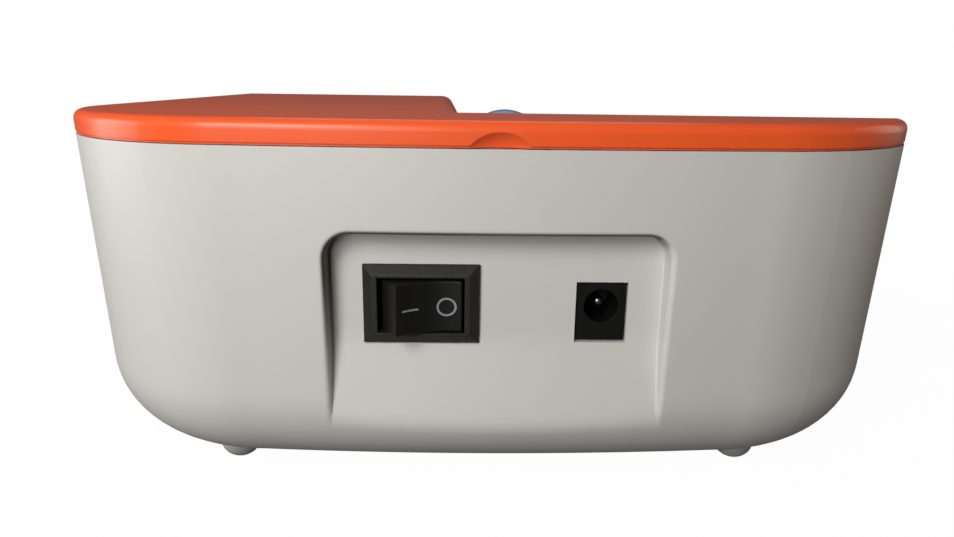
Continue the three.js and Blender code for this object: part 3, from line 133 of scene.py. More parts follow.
def soft_light(name, turn, rise, away, size, power, colour):
    """A square area light in watts, turned from the camera's side and raised, in degrees."""
    across, up = math.radians(turn), math.radians(rise)
    direction = Vector(
        (math.sin(across) * math.cos(up), -math.cos(across) * math.cos(up), math.sin(up))
    )
    bpy.ops.object.light_add(type="AREA", location=(lit_point + direction * away) * MM)
    light = bpy.context.object
    light.name = name
    light.data.size = size * MM
    light.data.energy = power
    light.data.color = linear(colour)[:3]
    light.rotation_euler = direction.to_track_quat("Z", "Y").to_euler()
    return light


soft_light("window_left", -31, 34, 360, 130, 0.74, "#FFFDF9")
soft_light("window_behind", -22, 13, 360, 200, 0.54, "#FFFEFB")
soft_light("window_grazing", -88, 8, 700, 380, 2.0, "#FFFEFB")
soft_light("fill_right", 75, 12, 700, 380, 0.12, "#FFE2C8")
soft_light("fill_far_right", 105, 14, 700, 380, 0.6, "#FFEBD9")
soft_light("fill_front", 180, 50, 700, 500, 0.6, "#FFFFFF")

# Floor. A pale seamless sheet, nearly white, that takes only a trace of the object's shadow.
floor_size = 6.0
floor_grey = linear("#F4F4F3")
fade_start = 0.14
fade_end = 0.3
nearly_white = 0.98

bpy.ops.mesh.primitive_plane_add(size=floor_size)
floor = bpy.context.object
floor.name = "floor"
floor_paper = bpy.data.materials.new("seamless_paper")
floor_paper.use_nodes = True
paper = floor_paper.node_tree
paper.nodes.clear()
where = add_node(paper, "ShaderNodeTexCoord")
distance = add_node(
    paper, "ShaderNodeVectorMath", {0: where.outputs["Object"]}, operation="LENGTH"
)
fade = add_node(
    paper,
    "ShaderNodeMapRange",
    {0: distance.outputs["Value"], 1: fade_start, 2: fade_end, 3: nearly_white, 4: 1.0},
    interpolation_type="SMOOTHSTEP",
)
matt = add_node(paper, "ShaderNodeBsdfDiffuse", {0: floor_grey})
glow = add_node(paper, "ShaderNodeEmission", {0: backdrop_white, 1: 1.0})
faded = add_node(
    paper, "ShaderNodeMixShader", {0: fade.outputs[0], 1: matt.outputs[0], 2: glow.outputs[0]}
)
add_node(paper, "ShaderNodeOutputMaterial", {0: faded.outputs[0]})
floor.data.materials.append(floor_paper)
floor.visible_diffuse = False
floor.visible_glossy = False

# Lower case. A tub of light grey ABS, injection moulded with a fine spark-eroded texture: bowed
# ends, large plan corners, a rolled underside, 2.5 mm walls and a recessed rear panel whose
# outer edge is rounded and whose inner corner is nearly sharp.
CASE_DEPTH = 216
SEAM_HALF_WIDTH = 86
PLAN_RADIUS = 40
WALL_BOW = 1.7
CASE_HEIGHT = 65.1
FOOT_DROP = 4
UNDERSIDE_RADIUS = 18.6
WALL = 2.5
DRAFT_SHARE = 0.045
TONGUE_SHARE = 0.42
TONGUE_HEIGHT = 1.5
TONGUE_STOP = 8.4
CREST_FROM_REAR = 27
DECK_SLOPE = math.atan(20.532 / (CASE_DEPTH - CREST_FROM_REAR))
SEAT_GAP = 0.3
OVERRUN = 3
RIM_HEIGHT = 4.65
RIM_ROUND = 1.9

REAR_Y = -CASE_DEPTH / 2
FRONT_Y = CASE_DEPTH / 2
SEAM_Z = FOOT_DROP + CASE_HEIGHT
CREST_Y = REAR_Y + CREST_FROM_REAR
TONGUE_INSET = WALL * (1 - TONGUE_SHARE)

PANEL_Y = REAR_Y + 6.34
RECESS_LEFT = -30.7
RECESS_RIGHT = 31.1
RECESS_TOP = FOOT_DROP + 50.55
RECESS_RADIUS = 5
EDGE_START = 0.65
EDGE_ROUND = 1.05
WALL_STEEPNESS = 44
INNER_ROUND = 0.35
SLIDE_FULL = 2
SLIDE_FADE = 8
LEAN_TOP = 33.5
LEAN_SHARE = 0.18
LEAN_BEND = 2
PANEL_BEND = 0.2
SAME_POINT = 0.004

corner_centre = SEAM_HALF_WIDTH - PLAN_RADIUS
corner_centre_y = REAR_Y + WALL_BOW + PLAN_RADIUS
rim_arc = PLAN_RADIUS - RIM_ROUND + DRAFT_SHARE * RIM_HEIGHT
crest_turn = math.acos((corner_centre_y - CREST_Y) / rim_arc)
corner_turns = sorted(
    [*np.linspace(0, math.pi / 2, 29), crest_turn, math.pi / 2 - crest_turn]
)
ROLL_STEPS = 18
END_STEPS = 12
SIDE_STEPS = 8
# Grid lines on both sides of the recess's edge: sparse on the flats and close on the rounds
edge_offsets = [-14, -9, -6, -4, -2.6, -1.8, -1.3, -1.0]
edge_offsets += [-0.51 - INNER_ROUND * (1 - math.cos(t)) for t in np.linspace(1.57, 0, 8)]
edge_offsets += [-0.49, -0.47, -0.45, -0.425]
edge_offsets += [EDGE_START - EDGE_ROUND * math.sin(t) for t in np.linspace(1.57, 0, 10)]
edge_offsets += [0.85, 1.2, 1.8, 2.8, 4, 6, 9, 14]


def plan_columns(rear_places):
    """Points of the case plan, anticlockwise from the left end of the rear, each with its inward
    direction. Offsets of the plan move every point along that direction."""
    points, inward = [], []

    def add(x, y, out_x, out_y):
        points.append((x, y))
        inward.append((-out_x, -out_y))

    def add_corner(side, end, out_at):
        for turn in corner_turns:
            out_x, out_y = out_at(math.sin(turn), math.cos(turn))
            x = side * corner_centre + PLAN_RADIUS * out_x
            add(x, end * corner_centre_y + PLAN_RADIUS * out_y, out_x, out_y)

    side_places = np.linspace(corner_centre_y, -corner_centre_y, SIDE_STEPS + 1)[1:-1]
    for x in rear_places:
        add(x, REAR_Y + WALL_BOW * (x / corner_centre) ** 2, 0, -1)
    add_corner(1, 1, lambda sine, cosine: (sine, -cosine))
    for y in side_places:
        add(SEAM_HALF_WIDTH, y, 1, 0)
    add_corner(1, -1, lambda sine, cosine: (cosine, sine))
    for x in np.linspace(corner_centre, -corner_centre, END_STEPS + 1)[1:-1]:
        add(x, FRONT_Y - WALL_BOW * (x / corner_centre) ** 2, 0, 1)
    add_corner(-1, -1, lambda sine, cosine: (-sine, cosine))
    for y in -side_places:
        add(-SEAM_HALF_WIDTH, y, -1, 0)
    add_corner(-1, 1, lambda sine, cosine: (-cosine, -sine))
    keep = [0]
    for place in range(1, len(points)):
        if math.dist(points[place], points[keep[-1]]) > SAME_POINT:
            keep.append(place)
    if math.dist(points[keep[-1]], points[0]) < SAME_POINT:
        keep.pop()
    return np.array(points)[keep], np.array(inward)[keep]


def seam_at(y):
    """Height of the parting line: level behind the crest and falling with the deck before it."""
    return SEAM_Z - np.maximum(0, y - CREST_Y) * math.tan(DECK_SLOPE)


def case_ring(columns, inset, height_at):
    """One ring of the case's skin, its plan inset by a length and by the wall's draft."""
    points, inward = columns
    rough = points + inward * inset
    offset = inset + DRAFT_SHARE * (SEAM_Z - height_at(rough[:, 1]))
    placed = points + inward * offset[:, None]
    return np.column_stack([placed, height_at(placed[:, 1])])


def above_seam(rise):
    return lambda y: seam_at(y) + rise


def flat_at(height):
    return lambda y: np.full(len(y), float(height))


def skin_mesh(name, rings, split_at=None):
    """A closed mesh through rings of equal count. The last cap may be folded along a line at y."""
    count = len(rings[0])
    vertices = np.vstack(rings) * MM
    faces = []
    for low in range(0, (len(rings) - 1) * count, count):
        high = low + count
        for place in range(count):
            after = (place + 1) % count
            faces.append((low + place, low + after, high + after, high + place))
    faces.append(tuple(reversed(range(count))))
    last = (len(rings) - 1) * count
    ends = []
    if split_at is not None:
        ends = [place for place in range(count) if abs(rings[-1][place][1] - split_at) < 0.02]
    if len(ends) == 2:
        first, second = ends
        faces.append(tuple(last + place for place in range(first, second + 1)))
        rest = [*range(second, count), *range(first + 1)]
        faces.append(tuple(last + place for place in rest))
    else:
        faces.append(tuple(range(last, last + count)))
    mesh = bpy.data.meshes.new(name)
    mesh.from_pydata([tuple(v) for v in vertices], [], faces)
    piece = bpy.data.objects.new(name, mesh)
    bpy.context.scene.collection.objects.link(piece)
    return piece


def rounded_corner(across, up):
    """Slides grid points near the recess's upper corner onto offset curves of its radius."""
    inside = (across > -RECESS_RADIUS) & (up > -RECESS_RADIUS)
    reach = np.maximum(np.maximum(across, up) + RECESS_RADIUS, 1e-6)
    low_leg = np.minimum(across, up) + RECESS_RADIUS
    turn = math.pi / 4 * low_leg / reach
    turn = np.where(across >= up, turn, math.pi / 2 - turn)
    hold = np.clip((reach - RECESS_RADIUS - SLIDE_FULL) / SLIDE_FADE, 0, 1)
    hold = np.where(inside, hold * hold * (3 - 2 * hold), 1)
    round_across = -RECESS_RADIUS + reach * np.cos(turn)
    round_up = -RECESS_RADIUS + reach * np.sin(turn)
    return (
        round_across * (1 - hold) + across * hold,
        round_up * (1 - hold) + up * hold,
    )


def arc(radius, along):
    """Height of a quarter round at a distance from its middle, and nothing past its end."""
    return np.sqrt(np.clip(radius**2 - along**2, 0, None))


def positive(value, bend):
    """A value where it is positive and nearly nothing where it isn't, eased over a bend."""
    return (value + np.sqrt(value**2 + bend**2)) / 2


def recess_depth(outside, room):
    """Depth of the skin at a distance outside the recess's edge, where the panel leaves this room:
    a rounded edge, a steep wall and a small inner round."""
    inwards = np.clip(EDGE_START - outside, 0, None)
    round_part = EDGE_ROUND - arc(EDGE_ROUND, np.minimum(inwards, EDGE_ROUND))
    wall_part = np.clip(inwards - EDGE_ROUND, 0, None) * WALL_STEEPNESS
    depth = round_part + wall_part
    inner = np.minimum(INNER_ROUND, room / 2)
    meets = room - inner
    on_round = arc(EDGE_ROUND, np.clip(EDGE_ROUND - meets, 0, None))
    start = on_round + np.clip(meets - EDGE_ROUND, 0, None) / WALL_STEEPNESS
    along = np.clip(inwards - start, 0, inner)
    eased = meets + arc(inner, inner - along)
    return np.where(inwards > start, eased, np.minimum(depth, room))


def press_recess(ring, skin):
    """Moves a ring's rear points back to the recessed panel."""
    x, y, z = ring[:, 0].copy(), ring[:, 1].copy(), ring[:, 2].copy()
    rear = (np.abs(x) < corner_centre) & (y < 0)
    up = z - RECESS_TOP
    for edge, side in ((RECESS_LEFT, -1), (RECESS_RIGHT, 1)):
        near = rear & (side * x > 0)
        new_across, new_up = rounded_corner(side * (x - edge), up)
        shift = near & (z > RECESS_TOP - RECESS_RADIUS)
        x = np.where(shift, edge + side * new_across, x)
        z = np.where(shift, RECESS_TOP + new_up, z)
    wall_y = y + WALL_BOW * (x**2 - ring[:, 0] ** 2) / corner_centre**2
    wall_y = wall_y - DRAFT_SHARE * (z - ring[:, 2])
    across = np.where(x > 0, x - RECESS_RIGHT, RECESS_LEFT - x)
    up = z - RECESS_TOP
    past_across = np.maximum(across + RECESS_RADIUS, 0)
    past_up = np.maximum(up + RECESS_RADIUS, 0)
    outside = np.hypot(past_across, past_up) - RECESS_RADIUS
    outside += np.minimum(np.maximum(across, up) + RECESS_RADIUS, 0)
    lean = LEAN_SHARE * positive(LEAN_TOP - z, LEAN_BEND)
    room = positive(PANEL_Y - lean + skin - wall_y, PANEL_BEND)
    y = np.where(rear, wall_y + recess_depth(outside - skin, room), y)
    return np.column_stack([x, y, z])


def tub_rings(columns, wall_rows, skin):
    """Rings from the middle of the underside up to the parting line."""
    rings = []
    radius = UNDERSIDE_RADIUS - skin
    for turn in np.linspace(0, math.pi / 2, ROLL_STEPS + 1):
        height = FOOT_DROP + UNDERSIDE_RADIUS - radius * math.cos(turn)
        inset = UNDERSIDE_RADIUS - radius * math.sin(turn)
        rings.append(case_ring(columns, inset, flat_at(height)))
    roll_top = FOOT_DROP + UNDERSIDE_RADIUS
    for share in wall_rows:
        rings.append(
            case_ring(columns, skin, lambda y, s=share: roll_top + s * (seam_at(y) - roll_top))
        )
    return [press_recess(ring, skin) for ring in rings]


def only(piece):
    """Selects this piece alone and makes it active."""
    bpy.ops.object.select_all(action="DESELECT")
    piece.select_set(True)
    bpy.context.view_layer.objects.active = piece


def open_mesh(piece, action="SELECT"):
    """Puts this piece alone in edit mode, with all of its mesh selected or nothing."""
    only(piece)
    bpy.ops.object.mode_set(mode="EDIT")
    bpy.ops.mesh.select_all(action=action)


def apply_modifier(piece, kind, **settings):
    """Adds a modifier and applies it."""
    only(piece)
    modifier = piece.modifiers.new(kind.lower(), kind)
    for name, value in settings.items():
        setattr(modifier, name, value)
    bpy.ops.object.modifier_apply(modifier=modifier.name)


def together(tools):
    """Joins separate solids that don't touch into one object."""
    only(tools[0])
    for tool in tools[1:]:
        tool.select_set(True)
    if len(tools) > 1:
        bpy.ops.object.join()
    return tools[0]


def combine(piece, operation, *tools):
    """Adds or cuts away solids, which are used up. Those in one list don't touch each other."""
    for tool in tools:
        if isinstance(tool, list):
            tool = together(tool)
        apply_modifier(piece, "BOOLEAN", object=tool, operation=operation, solver="EXACT")
        bpy.data.objects.remove(tool)


def settle():
    """Applies the place, turn and size of the active piece to its mesh."""
    bpy.ops.object.transform_apply(location=True, rotation=True, scale=True)
    return bpy.context.object


def block(low, high, frame_matrix=None):
    """A box between two corners in millimetres, in a local frame if one is given."""
    low, high = Vector(low) * MM, Vector(high) * MM
    bpy.ops.mesh.primitive_cube_add(size=1, location=(low + high) / 2, scale=high - low)
    piece = settle()
    if frame_matrix is not None:
        piece.data.transform(frame_matrix)
    return piece


def rod(radius, low, high, axis="Z", sides=48, frame_matrix=None):
    """A cylinder between the middles of its two ends, in millimetres, along one axis."""
    low, high = Vector(low) * MM, Vector(high) * MM
    turn = {"X": (0, math.pi / 2, 0), "Y": (math.pi / 2, 0, 0), "Z": (0, 0, 0)}[axis]
    bpy.ops.mesh.primitive_cylinder_add(
        vertices=sides,
        radius=radius * MM,
        depth=(high - low).length,
        location=(low + high) / 2,
        rotation=turn,
    )
    piece = settle()
    if frame_matrix is not None:
        piece.data.transform(frame_matrix)
    return piece


def face_outwards(piece):
    """Merges doubled points and turns every face outwards."""
    open_mesh(piece)
    bpy.ops.mesh.remove_doubles(threshold=0.001 * MM)
    bpy.ops.mesh.normals_make_consistent(inside=False)
    bpy.ops.object.mode_set(mode="OBJECT")


def smooth(piece, angle=30, creased=None):
    """Smooth shading with crisp corners and flat faces kept flat, and crisp too along the edges
    whose two ends pass a test in millimetres."""
    only(piece)
    bpy.ops.object.shade_smooth_by_angle(angle=math.radians(angle))
    if creased is not None:
        points = [v.co / MM for v in piece.data.vertices]
        for edge in piece.data.edges:
            if all(creased(points[place]) for place in edge.vertices):
                edge.use_edge_sharp = True
    apply_modifier(piece, "WEIGHTED_NORMAL", mode="FACE_AREA", weight=50, keep_sharp=True)


def break_edges(piece, width, segments=2, angle=40):
    """Rounds every edge sharper than an angle, by a width in millimetres."""
    apply_modifier(
        piece,
        "BEVEL",
        width=width * MM,
        segments=segments,
        limit_method="ANGLE",
        angle_limit=math.radians(angle),
        use_clamp_overlap=True,
    )


def dress(piece, name, material, slot, body, *nodes):
    """Names a finished piece and gives it its material, body and the nodes it stands for."""
    piece.name = name
    piece.data.name = name
    piece.data.materials.clear()
    piece.data.materials.append(material)
    for face in piece.data.polygons:
        face.material_index = 0
    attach(piece, body)
    if nodes:
        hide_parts(*nodes)


rear_places = sorted(
    [-corner_centre, -38, 38, corner_centre]
    + [RECESS_LEFT - offset for offset in edge_offsets]
    + [RECESS_RIGHT + offset for offset in edge_offsets]
    + list(np.linspace(-16, 16, 9))
)
case_columns = plan_columns(rear_places)
roll_top_z = FOOT_DROP + UNDERSIDE_RADIUS
wall_heights = list(np.linspace(roll_top_z, RECESS_TOP - 14, 15)[1:-1])
wall_heights += [RECESS_TOP + offset for offset in edge_offsets] + [SEAM_Z]
wall_rows = [(z - roll_top_z) / (SEAM_Z - roll_top_z) for z in wall_heights]

outer = tub_rings(case_columns, wall_rows, 0)
inner = tub_rings(case_columns, wall_rows[:-1], WALL)
rim = [
    case_ring(case_columns, TONGUE_INSET, above_seam(0)),
    case_ring(case_columns, TONGUE_INSET, above_seam(TONGUE_HEIGHT)),
    case_ring(case_columns, WALL, above_seam(TONGUE_HEIGHT)),
]
lower_case = skin_mesh("lower_case", outer + rim + inner[::-1])
face_outwards(lower_case)

SWITCH_X = -13.65
SWITCH_Z = FOOT_DROP + 36.37
JACK_X = 19.58
JACK_Z = FOOT_DROP + 34.81
BODY_HALF_WIDTH = 9.45
BODY_HALF_HEIGHT = 6.35
JACK_HALF_WIDTH = 4.5
JACK_HALF_HEIGHT = 5.5
CASE_ENDS = ("rear_left", "rear_right", "front_left", "front_right")
FOOT_PLACES = [(x, y) for y in (-84, 84) for x in (-54.2, 54.2)]
FOOT_PAD_RADIUS = 6.4
FOOT_PAD_TOP = 10
STEM_HOLE_RADIUS = 1.9
STEM_HOLE_TOP = 7.3
SCREW_PLACES = [(x, y) for y in (-73, 34) for x in (-60, 60)]
SCREW_HOLE_RADIUS = 1.8
HEAD_HOLE_RADIUS = 3.1
HEAD_HOLE_TOP = 11.3
BOSS_RADIUS = 4.2
BOSS_TOP = 40
BOSS_ROOT = 5
TRAY_X = 35
MOUTH_HALF_WIDTH = 18.9
MOUTH_LOW = (TRAY_X - MOUTH_HALF_WIDTH, FRONT_Y - PLAN_RADIUS, 22.6)
MOUTH_HIGH = (TRAY_X + MOUTH_HALF_WIDTH, FRONT_Y + OVERRUN, 37.4)
openings = [
    (SWITCH_X, SWITCH_Z, BODY_HALF_WIDTH + SEAT_GAP, BODY_HALF_HEIGHT + SEAT_GAP),
    (JACK_X, JACK_Z, JACK_HALF_WIDTH + SEAT_GAP, JACK_HALF_HEIGHT + SEAT_GAP),
]

combine(
    lower_case,
    "UNION",
    [rod(FOOT_PAD_RADIUS, (x, y, BOSS_ROOT), (x, y, FOOT_PAD_TOP)) for x, y in FOOT_PLACES]
    + [rod(BOSS_RADIUS, (x, y, BOSS_ROOT), (x, y, BOSS_TOP)) for x, y in SCREW_PLACES],
)
combine(
    lower_case,
    "DIFFERENCE",
    [
        block(
            (x - half_width, REAR_Y - OVERRUN, z - half_height),
            (x + half_width, PANEL_Y + WALL + OVERRUN, z + half_height),
        )
        for x, z, half_width, half_height in openings
    ]
    + [block(MOUTH_LOW, MOUTH_HIGH)]
    + [
        block(
            (-TONGUE_STOP, REAR_Y - OVERRUN, SEAM_Z),
            (TONGUE_STOP, REAR_Y + 2 * WALL, SEAM_Z + OVERRUN),
        )
    ]
    + [rod(STEM_HOLE_RADIUS, (x, y, 1), (x, y, STEM_HOLE_TOP)) for x, y in FOOT_PLACES]
    + [
        rod(SCREW_HOLE_RADIUS, (x, y, 1), (x, y, BOSS_TOP + OVERRUN))
        for x, y in SCREW_PLACES
    ],
    [rod(HEAD_HOLE_RADIUS, (x, y, 1), (x, y, HEAD_HOLE_TOP)) for x, y in SCREW_PLACES],
)
smooth(lower_case, 34)


def moulded(name, tones, roughness, grain, depth, drift=60.0, shine=0.5):
    """Moulded plastic: two close tones that drift over its skin, a grain of a size and a
    depth in millimetres, and a share of shine that is half for a clean skin."""
    material = bpy.data.materials.new(name)
    material.use_nodes = True
    tree = material.node_tree
    shader = tree.nodes["Principled BSDF"]
    place = add_node(tree, "ShaderNodeTexCoord").outputs["Object"]
    flow = add_node(
        tree, "ShaderNodeTexNoise", {"Vector": place, "Scale": 1000 / drift, "Detail": 2.0}
    )
    tint = add_node(
        tree,
        "ShaderNodeMix",
        {0: flow.outputs["Fac"], 6: linear(tones[0]), 7: linear(tones[1])},
        data_type="RGBA",
    )
    tree.links.new(tint.outputs[2], shader.inputs["Base Color"])
    skin = add_node(
        tree, "ShaderNodeTexNoise", {"Vector": place, "Scale": 1000 / grain, "Detail": 2.0}
    )
    bump = add_node(
        tree,
        "ShaderNodeBump",
        {"Strength": 1.0, "Distance": depth * MM, "Height": skin.outputs["Fac"]},
    )
    tree.links.new(bump.outputs[0], shader.inputs["Normal"])
    shader.inputs["Roughness"].default_value = roughness
    shader.inputs["IOR"].default_value = 1.5
    shader.inputs["Specular IOR Level"].default_value = shine
    return material


# ABS with a spark-eroded skin, satin. Its fine grain is drawn coarser, at 0.3 mm, to show.
grey_abs = moulded("spark_textured_grey_abs", ("#CFCDCA", "#C9C7C4"), 0.45, 0.3, 0.0012)

# Painted shade: the recess's steep left and top walls are painted brown, stronger towards the top,
# where shadow falls
PAINTED_SHADE_BROWN = linear("#574840")
PAINTED_SHADE_FROM = 24
PAINTED_SHADE_FULL = 46
grey_nodes = grey_abs.node_tree
grey_base_input = grey_nodes.nodes["Principled BSDF"].inputs["Base Color"]
place = add_node(grey_nodes, "ShaderNodeTexCoord").outputs["Object"]
along = add_node(grey_nodes, "ShaderNodeSeparateXYZ", {0: place})
middle = ((RECESS_LEFT + RECESS_RIGHT) / 2 * MM, 0, 0)
half_width = (RECESS_RIGHT - RECESS_LEFT) / 2
corner = (RECESS_RADIUS - half_width, 0, RECESS_RADIUS - RECESS_TOP)
past = place
for operation, values in (
    ("SUBTRACT", {1: middle}),
    ("ABSOLUTE", {}),
    ("MULTIPLY_ADD", {1: (1 / MM, 0, 1 / MM), 2: corner}),
    ("MAXIMUM", {1: (0, 0, 0)}),
    ("LENGTH", {}),
):
    step = add_node(grey_nodes, "ShaderNodeVectorMath", {0: past, **values}, operation=operation)
    past = step.outputs["Value" if operation == "LENGTH" else "Vector"]
# Mask of the painted shade: a band along the recess's left and top edges, kept off the right wall
# and the panel's face, growing from nothing low down to full strength near the top
painted_shade = None
for socket, no_shade_at, full_shade_at in (
    (past, RECESS_RADIUS + 0.4, RECESS_RADIUS - 0.05),
    (past, RECESS_RADIUS - 0.95, RECESS_RADIUS - 0.6),
    (along.outputs["X"], (RECESS_RIGHT - 0.7) * MM, (RECESS_RIGHT - 3) * MM),
    (along.outputs["Y"], (PANEL_Y + 1) * MM, PANEL_Y * MM),
    (along.outputs["Z"], PAINTED_SHADE_FROM * MM, PAINTED_SHADE_FULL * MM),
):
    share = add_node(grey_nodes, "ShaderNodeMapRange", {0: socket, 1: no_shade_at, 2: full_shade_at}).outputs[0]
    if painted_shade is not None:
        both = add_node(grey_nodes, "ShaderNodeMath", {0: painted_shade, 1: share}, operation="MULTIPLY")
        share = both.outputs[0]
    painted_shade = share
# Mixes the painted brown shade into the grey's base colour through that mask
shaded_base = add_node(
    grey_nodes,
    "ShaderNodeMix",
    {0: painted_shade, 6: grey_base_input.links[0].from_socket, 7: PAINTED_SHADE_BROWN},
    data_type="RGBA",
)
grey_nodes.links.new(shaded_base.outputs[2], grey_base_input)
dress(lower_case, "lower_case", grey_abs, "grey_case", "case", "bottom_housing")


# Feet. Four domed rubber buttons with a worn flat, each pressed into a pad of the floor.
def lathe_turned(profile, place=(0, 0), sides=64, frame_matrix=None):
    """A solid turned from a profile of (radius, height) points in millimetres."""
    mesh = bpy.data.meshes.new("turned")
    points = [(radius * MM, 0, height * MM) for radius, height in profile]
    mesh.from_pydata(points, [(step, step + 1) for step in range(len(points) - 1)], [])
    piece = bpy.data.objects.new("turned", mesh)
    bpy.context.scene.collection.objects.link(piece)
    open_mesh(piece)
    bpy.ops.mesh.spin(steps=sides, angle=2 * math.pi, center=(0, 0, 0), axis=(0, 0, 1))
    bpy.ops.object.mode_set(mode="OBJECT")
    face_outwards(piece)
    piece.data.transform(Matrix.Translation(Vector((*place, 0)) * MM))
    if frame_matrix is not None:
        piece.data.transform(frame_matrix)
    return piece


FOOT_RADIUS = 4.3
FOOT_FLAT = 1.4
FOOT_STEM_RADIUS = 1.6
FOOT_STEM_TOP = 7
flat_turn = math.asin(FOOT_FLAT / FOOT_RADIUS)
foot_profile = [(0, 0)]
for turn in np.linspace(flat_turn, math.pi / 2, 14):
    fall = math.cos(turn) / math.cos(flat_turn)
    foot_profile.append((FOOT_RADIUS * math.sin(turn), (FOOT_DROP - SEAT_GAP) * (1 - fall)))
foot_profile += [
    (FOOT_RADIUS - 0.2, FOOT_DROP - 0.05),
    (FOOT_STEM_RADIUS, FOOT_DROP - 0.05),
    (FOOT_STEM_RADIUS, FOOT_STEM_TOP),
    (0, FOOT_STEM_TOP),
]

# Grey synthetic rubber, matt, a little dusty
foot_rubber = moulded("grey_foot_rubber", ("#B4B4B0", "#A8A8A4"), 0.62, 0.5, 0.004, 4.0)
for ends, place in zip(CASE_ENDS, FOOT_PLACES):
    name = "foot_" + ends
    foot = lathe_turned(foot_profile, place)
    smooth(foot, 50)
    dress(foot, name + "_dome", foot_rubber, "foot_rubber", "case", name)

# Cover. One orange ABS moulding, semi-gloss: a wedge over the whole plan, a raised block for the
# strip printer, a lip that leaves a thin dark line at the seam, and a half-moon notch for prying.
SEAM_GAP = 0.2
SEAM_LIP = 0.5
SEAM_LIP_DEPTH = 0.3
RIM_TOP = SEAM_Z + RIM_HEIGHT
PRINTER_SLOPE = math.radians(23.3)
BLOCK_Y = FRONT_Y - 61
BLOCK_ROUND = 4.5
STEP_X = -5.6
STEP_SKEW = math.radians(1.9)
STEP_FILLET = 2.2
FILLET_START = 0.6
FILLET_ROOT = 0.6
PRINTER_X = -45.735
NOTCH_RADIUS = 7.3
NOTCH_DEPTH = 2.6
NOTCH_Z = SEAM_Z + 2.7 - NOTCH_RADIUS
NOTCH_BACK = 8
SCREW_HOLE_END = 56
NEAR = 0.01
reach_out = SEAM_HALF_WIDTH + OVERRUN

cover_columns = plan_columns(list(np.linspace(-corner_centre, corner_centre, 33)))


def cover_rings(top_at, skin):
    """Rings of the cover's outer skin, or of its hollow where skin is the wall."""
    if skin == 0:
        steps = [
            (SEAM_LIP_DEPTH, SEAM_GAP),
            (SEAM_LIP_DEPTH, SEAM_LIP),
            (0.1, SEAM_LIP),
            (0.03, SEAM_LIP + 0.04),
            (0, SEAM_LIP + 0.12),
        ]
    else:
        shelf = TONGUE_HEIGHT + SEAT_GAP
        near = TONGUE_INSET - SEAT_GAP
        steps = [(near, -OVERRUN), (near, shelf), (skin, shelf)]
    rings = [case_ring(cover_columns, inset, above_seam(rise)) for inset, rise in steps]
    if skin > 0:
        rings.append(case_ring(cover_columns, skin, lambda y: top_at(y) - skin))
        return rings
    for turn in np.linspace(0, math.pi / 2, 12):
        fall = RIM_ROUND * (1 - math.sin(turn))
        inset = RIM_ROUND * (1 - math.cos(turn))
        rings.append(case_ring(cover_columns, inset, lambda y, f=fall: top_at(y) - f))
    return rings


def round_edges(piece, width, segments, test):
    """Rounds the edges whose two ends pass a test, by a width in millimetres."""
    open_mesh(piece, "DESELECT")
    bpy.ops.mesh.select_mode(type="EDGE")
    bpy.ops.object.mode_set(mode="OBJECT")
    points = [v.co / MM for v in piece.data.vertices]
    for edge in piece.data.edges:
        edge.select = all(test(points[place]) for place in edge.vertices)
    bpy.ops.object.mode_set(mode="EDIT")
    bpy.ops.mesh.bevel(offset=width * MM, segments=segments, affect="EDGES")
    bpy.ops.object.mode_set(mode="OBJECT")


def block_end(skin):
    """The solid that ends the block at its step, its upper edge rounded."""
    piece = block((-reach_out, -CREST_FROM_REAR - OVERRUN, 0), (-skin, CASE_DEPTH, RIM_TOP - skin))
    round_edges(
        piece,
        BLOCK_ROUND - skin,
        20,
        lambda p: abs(p.x + skin) < NEAR and abs(p.z - RIM_TOP + skin) < NEAR,
    )
    turn = Matrix.Translation(Vector((STEP_X, CREST_Y, 0)) * MM)
    piece.data.transform(turn @ Matrix.Rotation(STEP_SKEW, 4, "Z"))
    return piece


def block_side(skin):
    """The solid under the level top and the printer's slope, with a softly rounded crest."""
    piece = block(
        (-reach_out, REAR_Y - OVERRUN, 0), (reach_out, FRONT_Y + OVERRUN, RIM_TOP - skin)
    )
    open_mesh(piece)
    crest = BLOCK_Y - skin * math.tan(PRINTER_SLOPE / 2)
    bpy.ops.mesh.bisect(
        plane_co=Vector((0, crest, RIM_TOP - skin)) * MM,
        plane_no=(0, math.sin(PRINTER_SLOPE), math.cos(PRINTER_SLOPE)),
        clear_outer=True,
        use_fill=True,
    )
    bpy.ops.object.mode_set(mode="OBJECT")
    round_edges(
        piece,
        BLOCK_ROUND * math.tan(PRINTER_SLOPE / 2),
        6,
        lambda p: abs(p.y - crest) < NEAR and abs(p.z - RIM_TOP + skin) < NEAR,
    )
    return piece


def cover_solid(name, skin):
    """The wedge and the block as one solid, whole or as the hollow under a wall."""
    wedge = skin_mesh(name, cover_rings(above_seam(RIM_HEIGHT), skin), CREST_Y)
    raised = skin_mesh(name, cover_rings(flat_at(RIM_TOP), skin))
    combine(raised, "INTERSECT", block_side(skin), block_end(skin))
    combine(wedge, "UNION", raised)
    return wedge


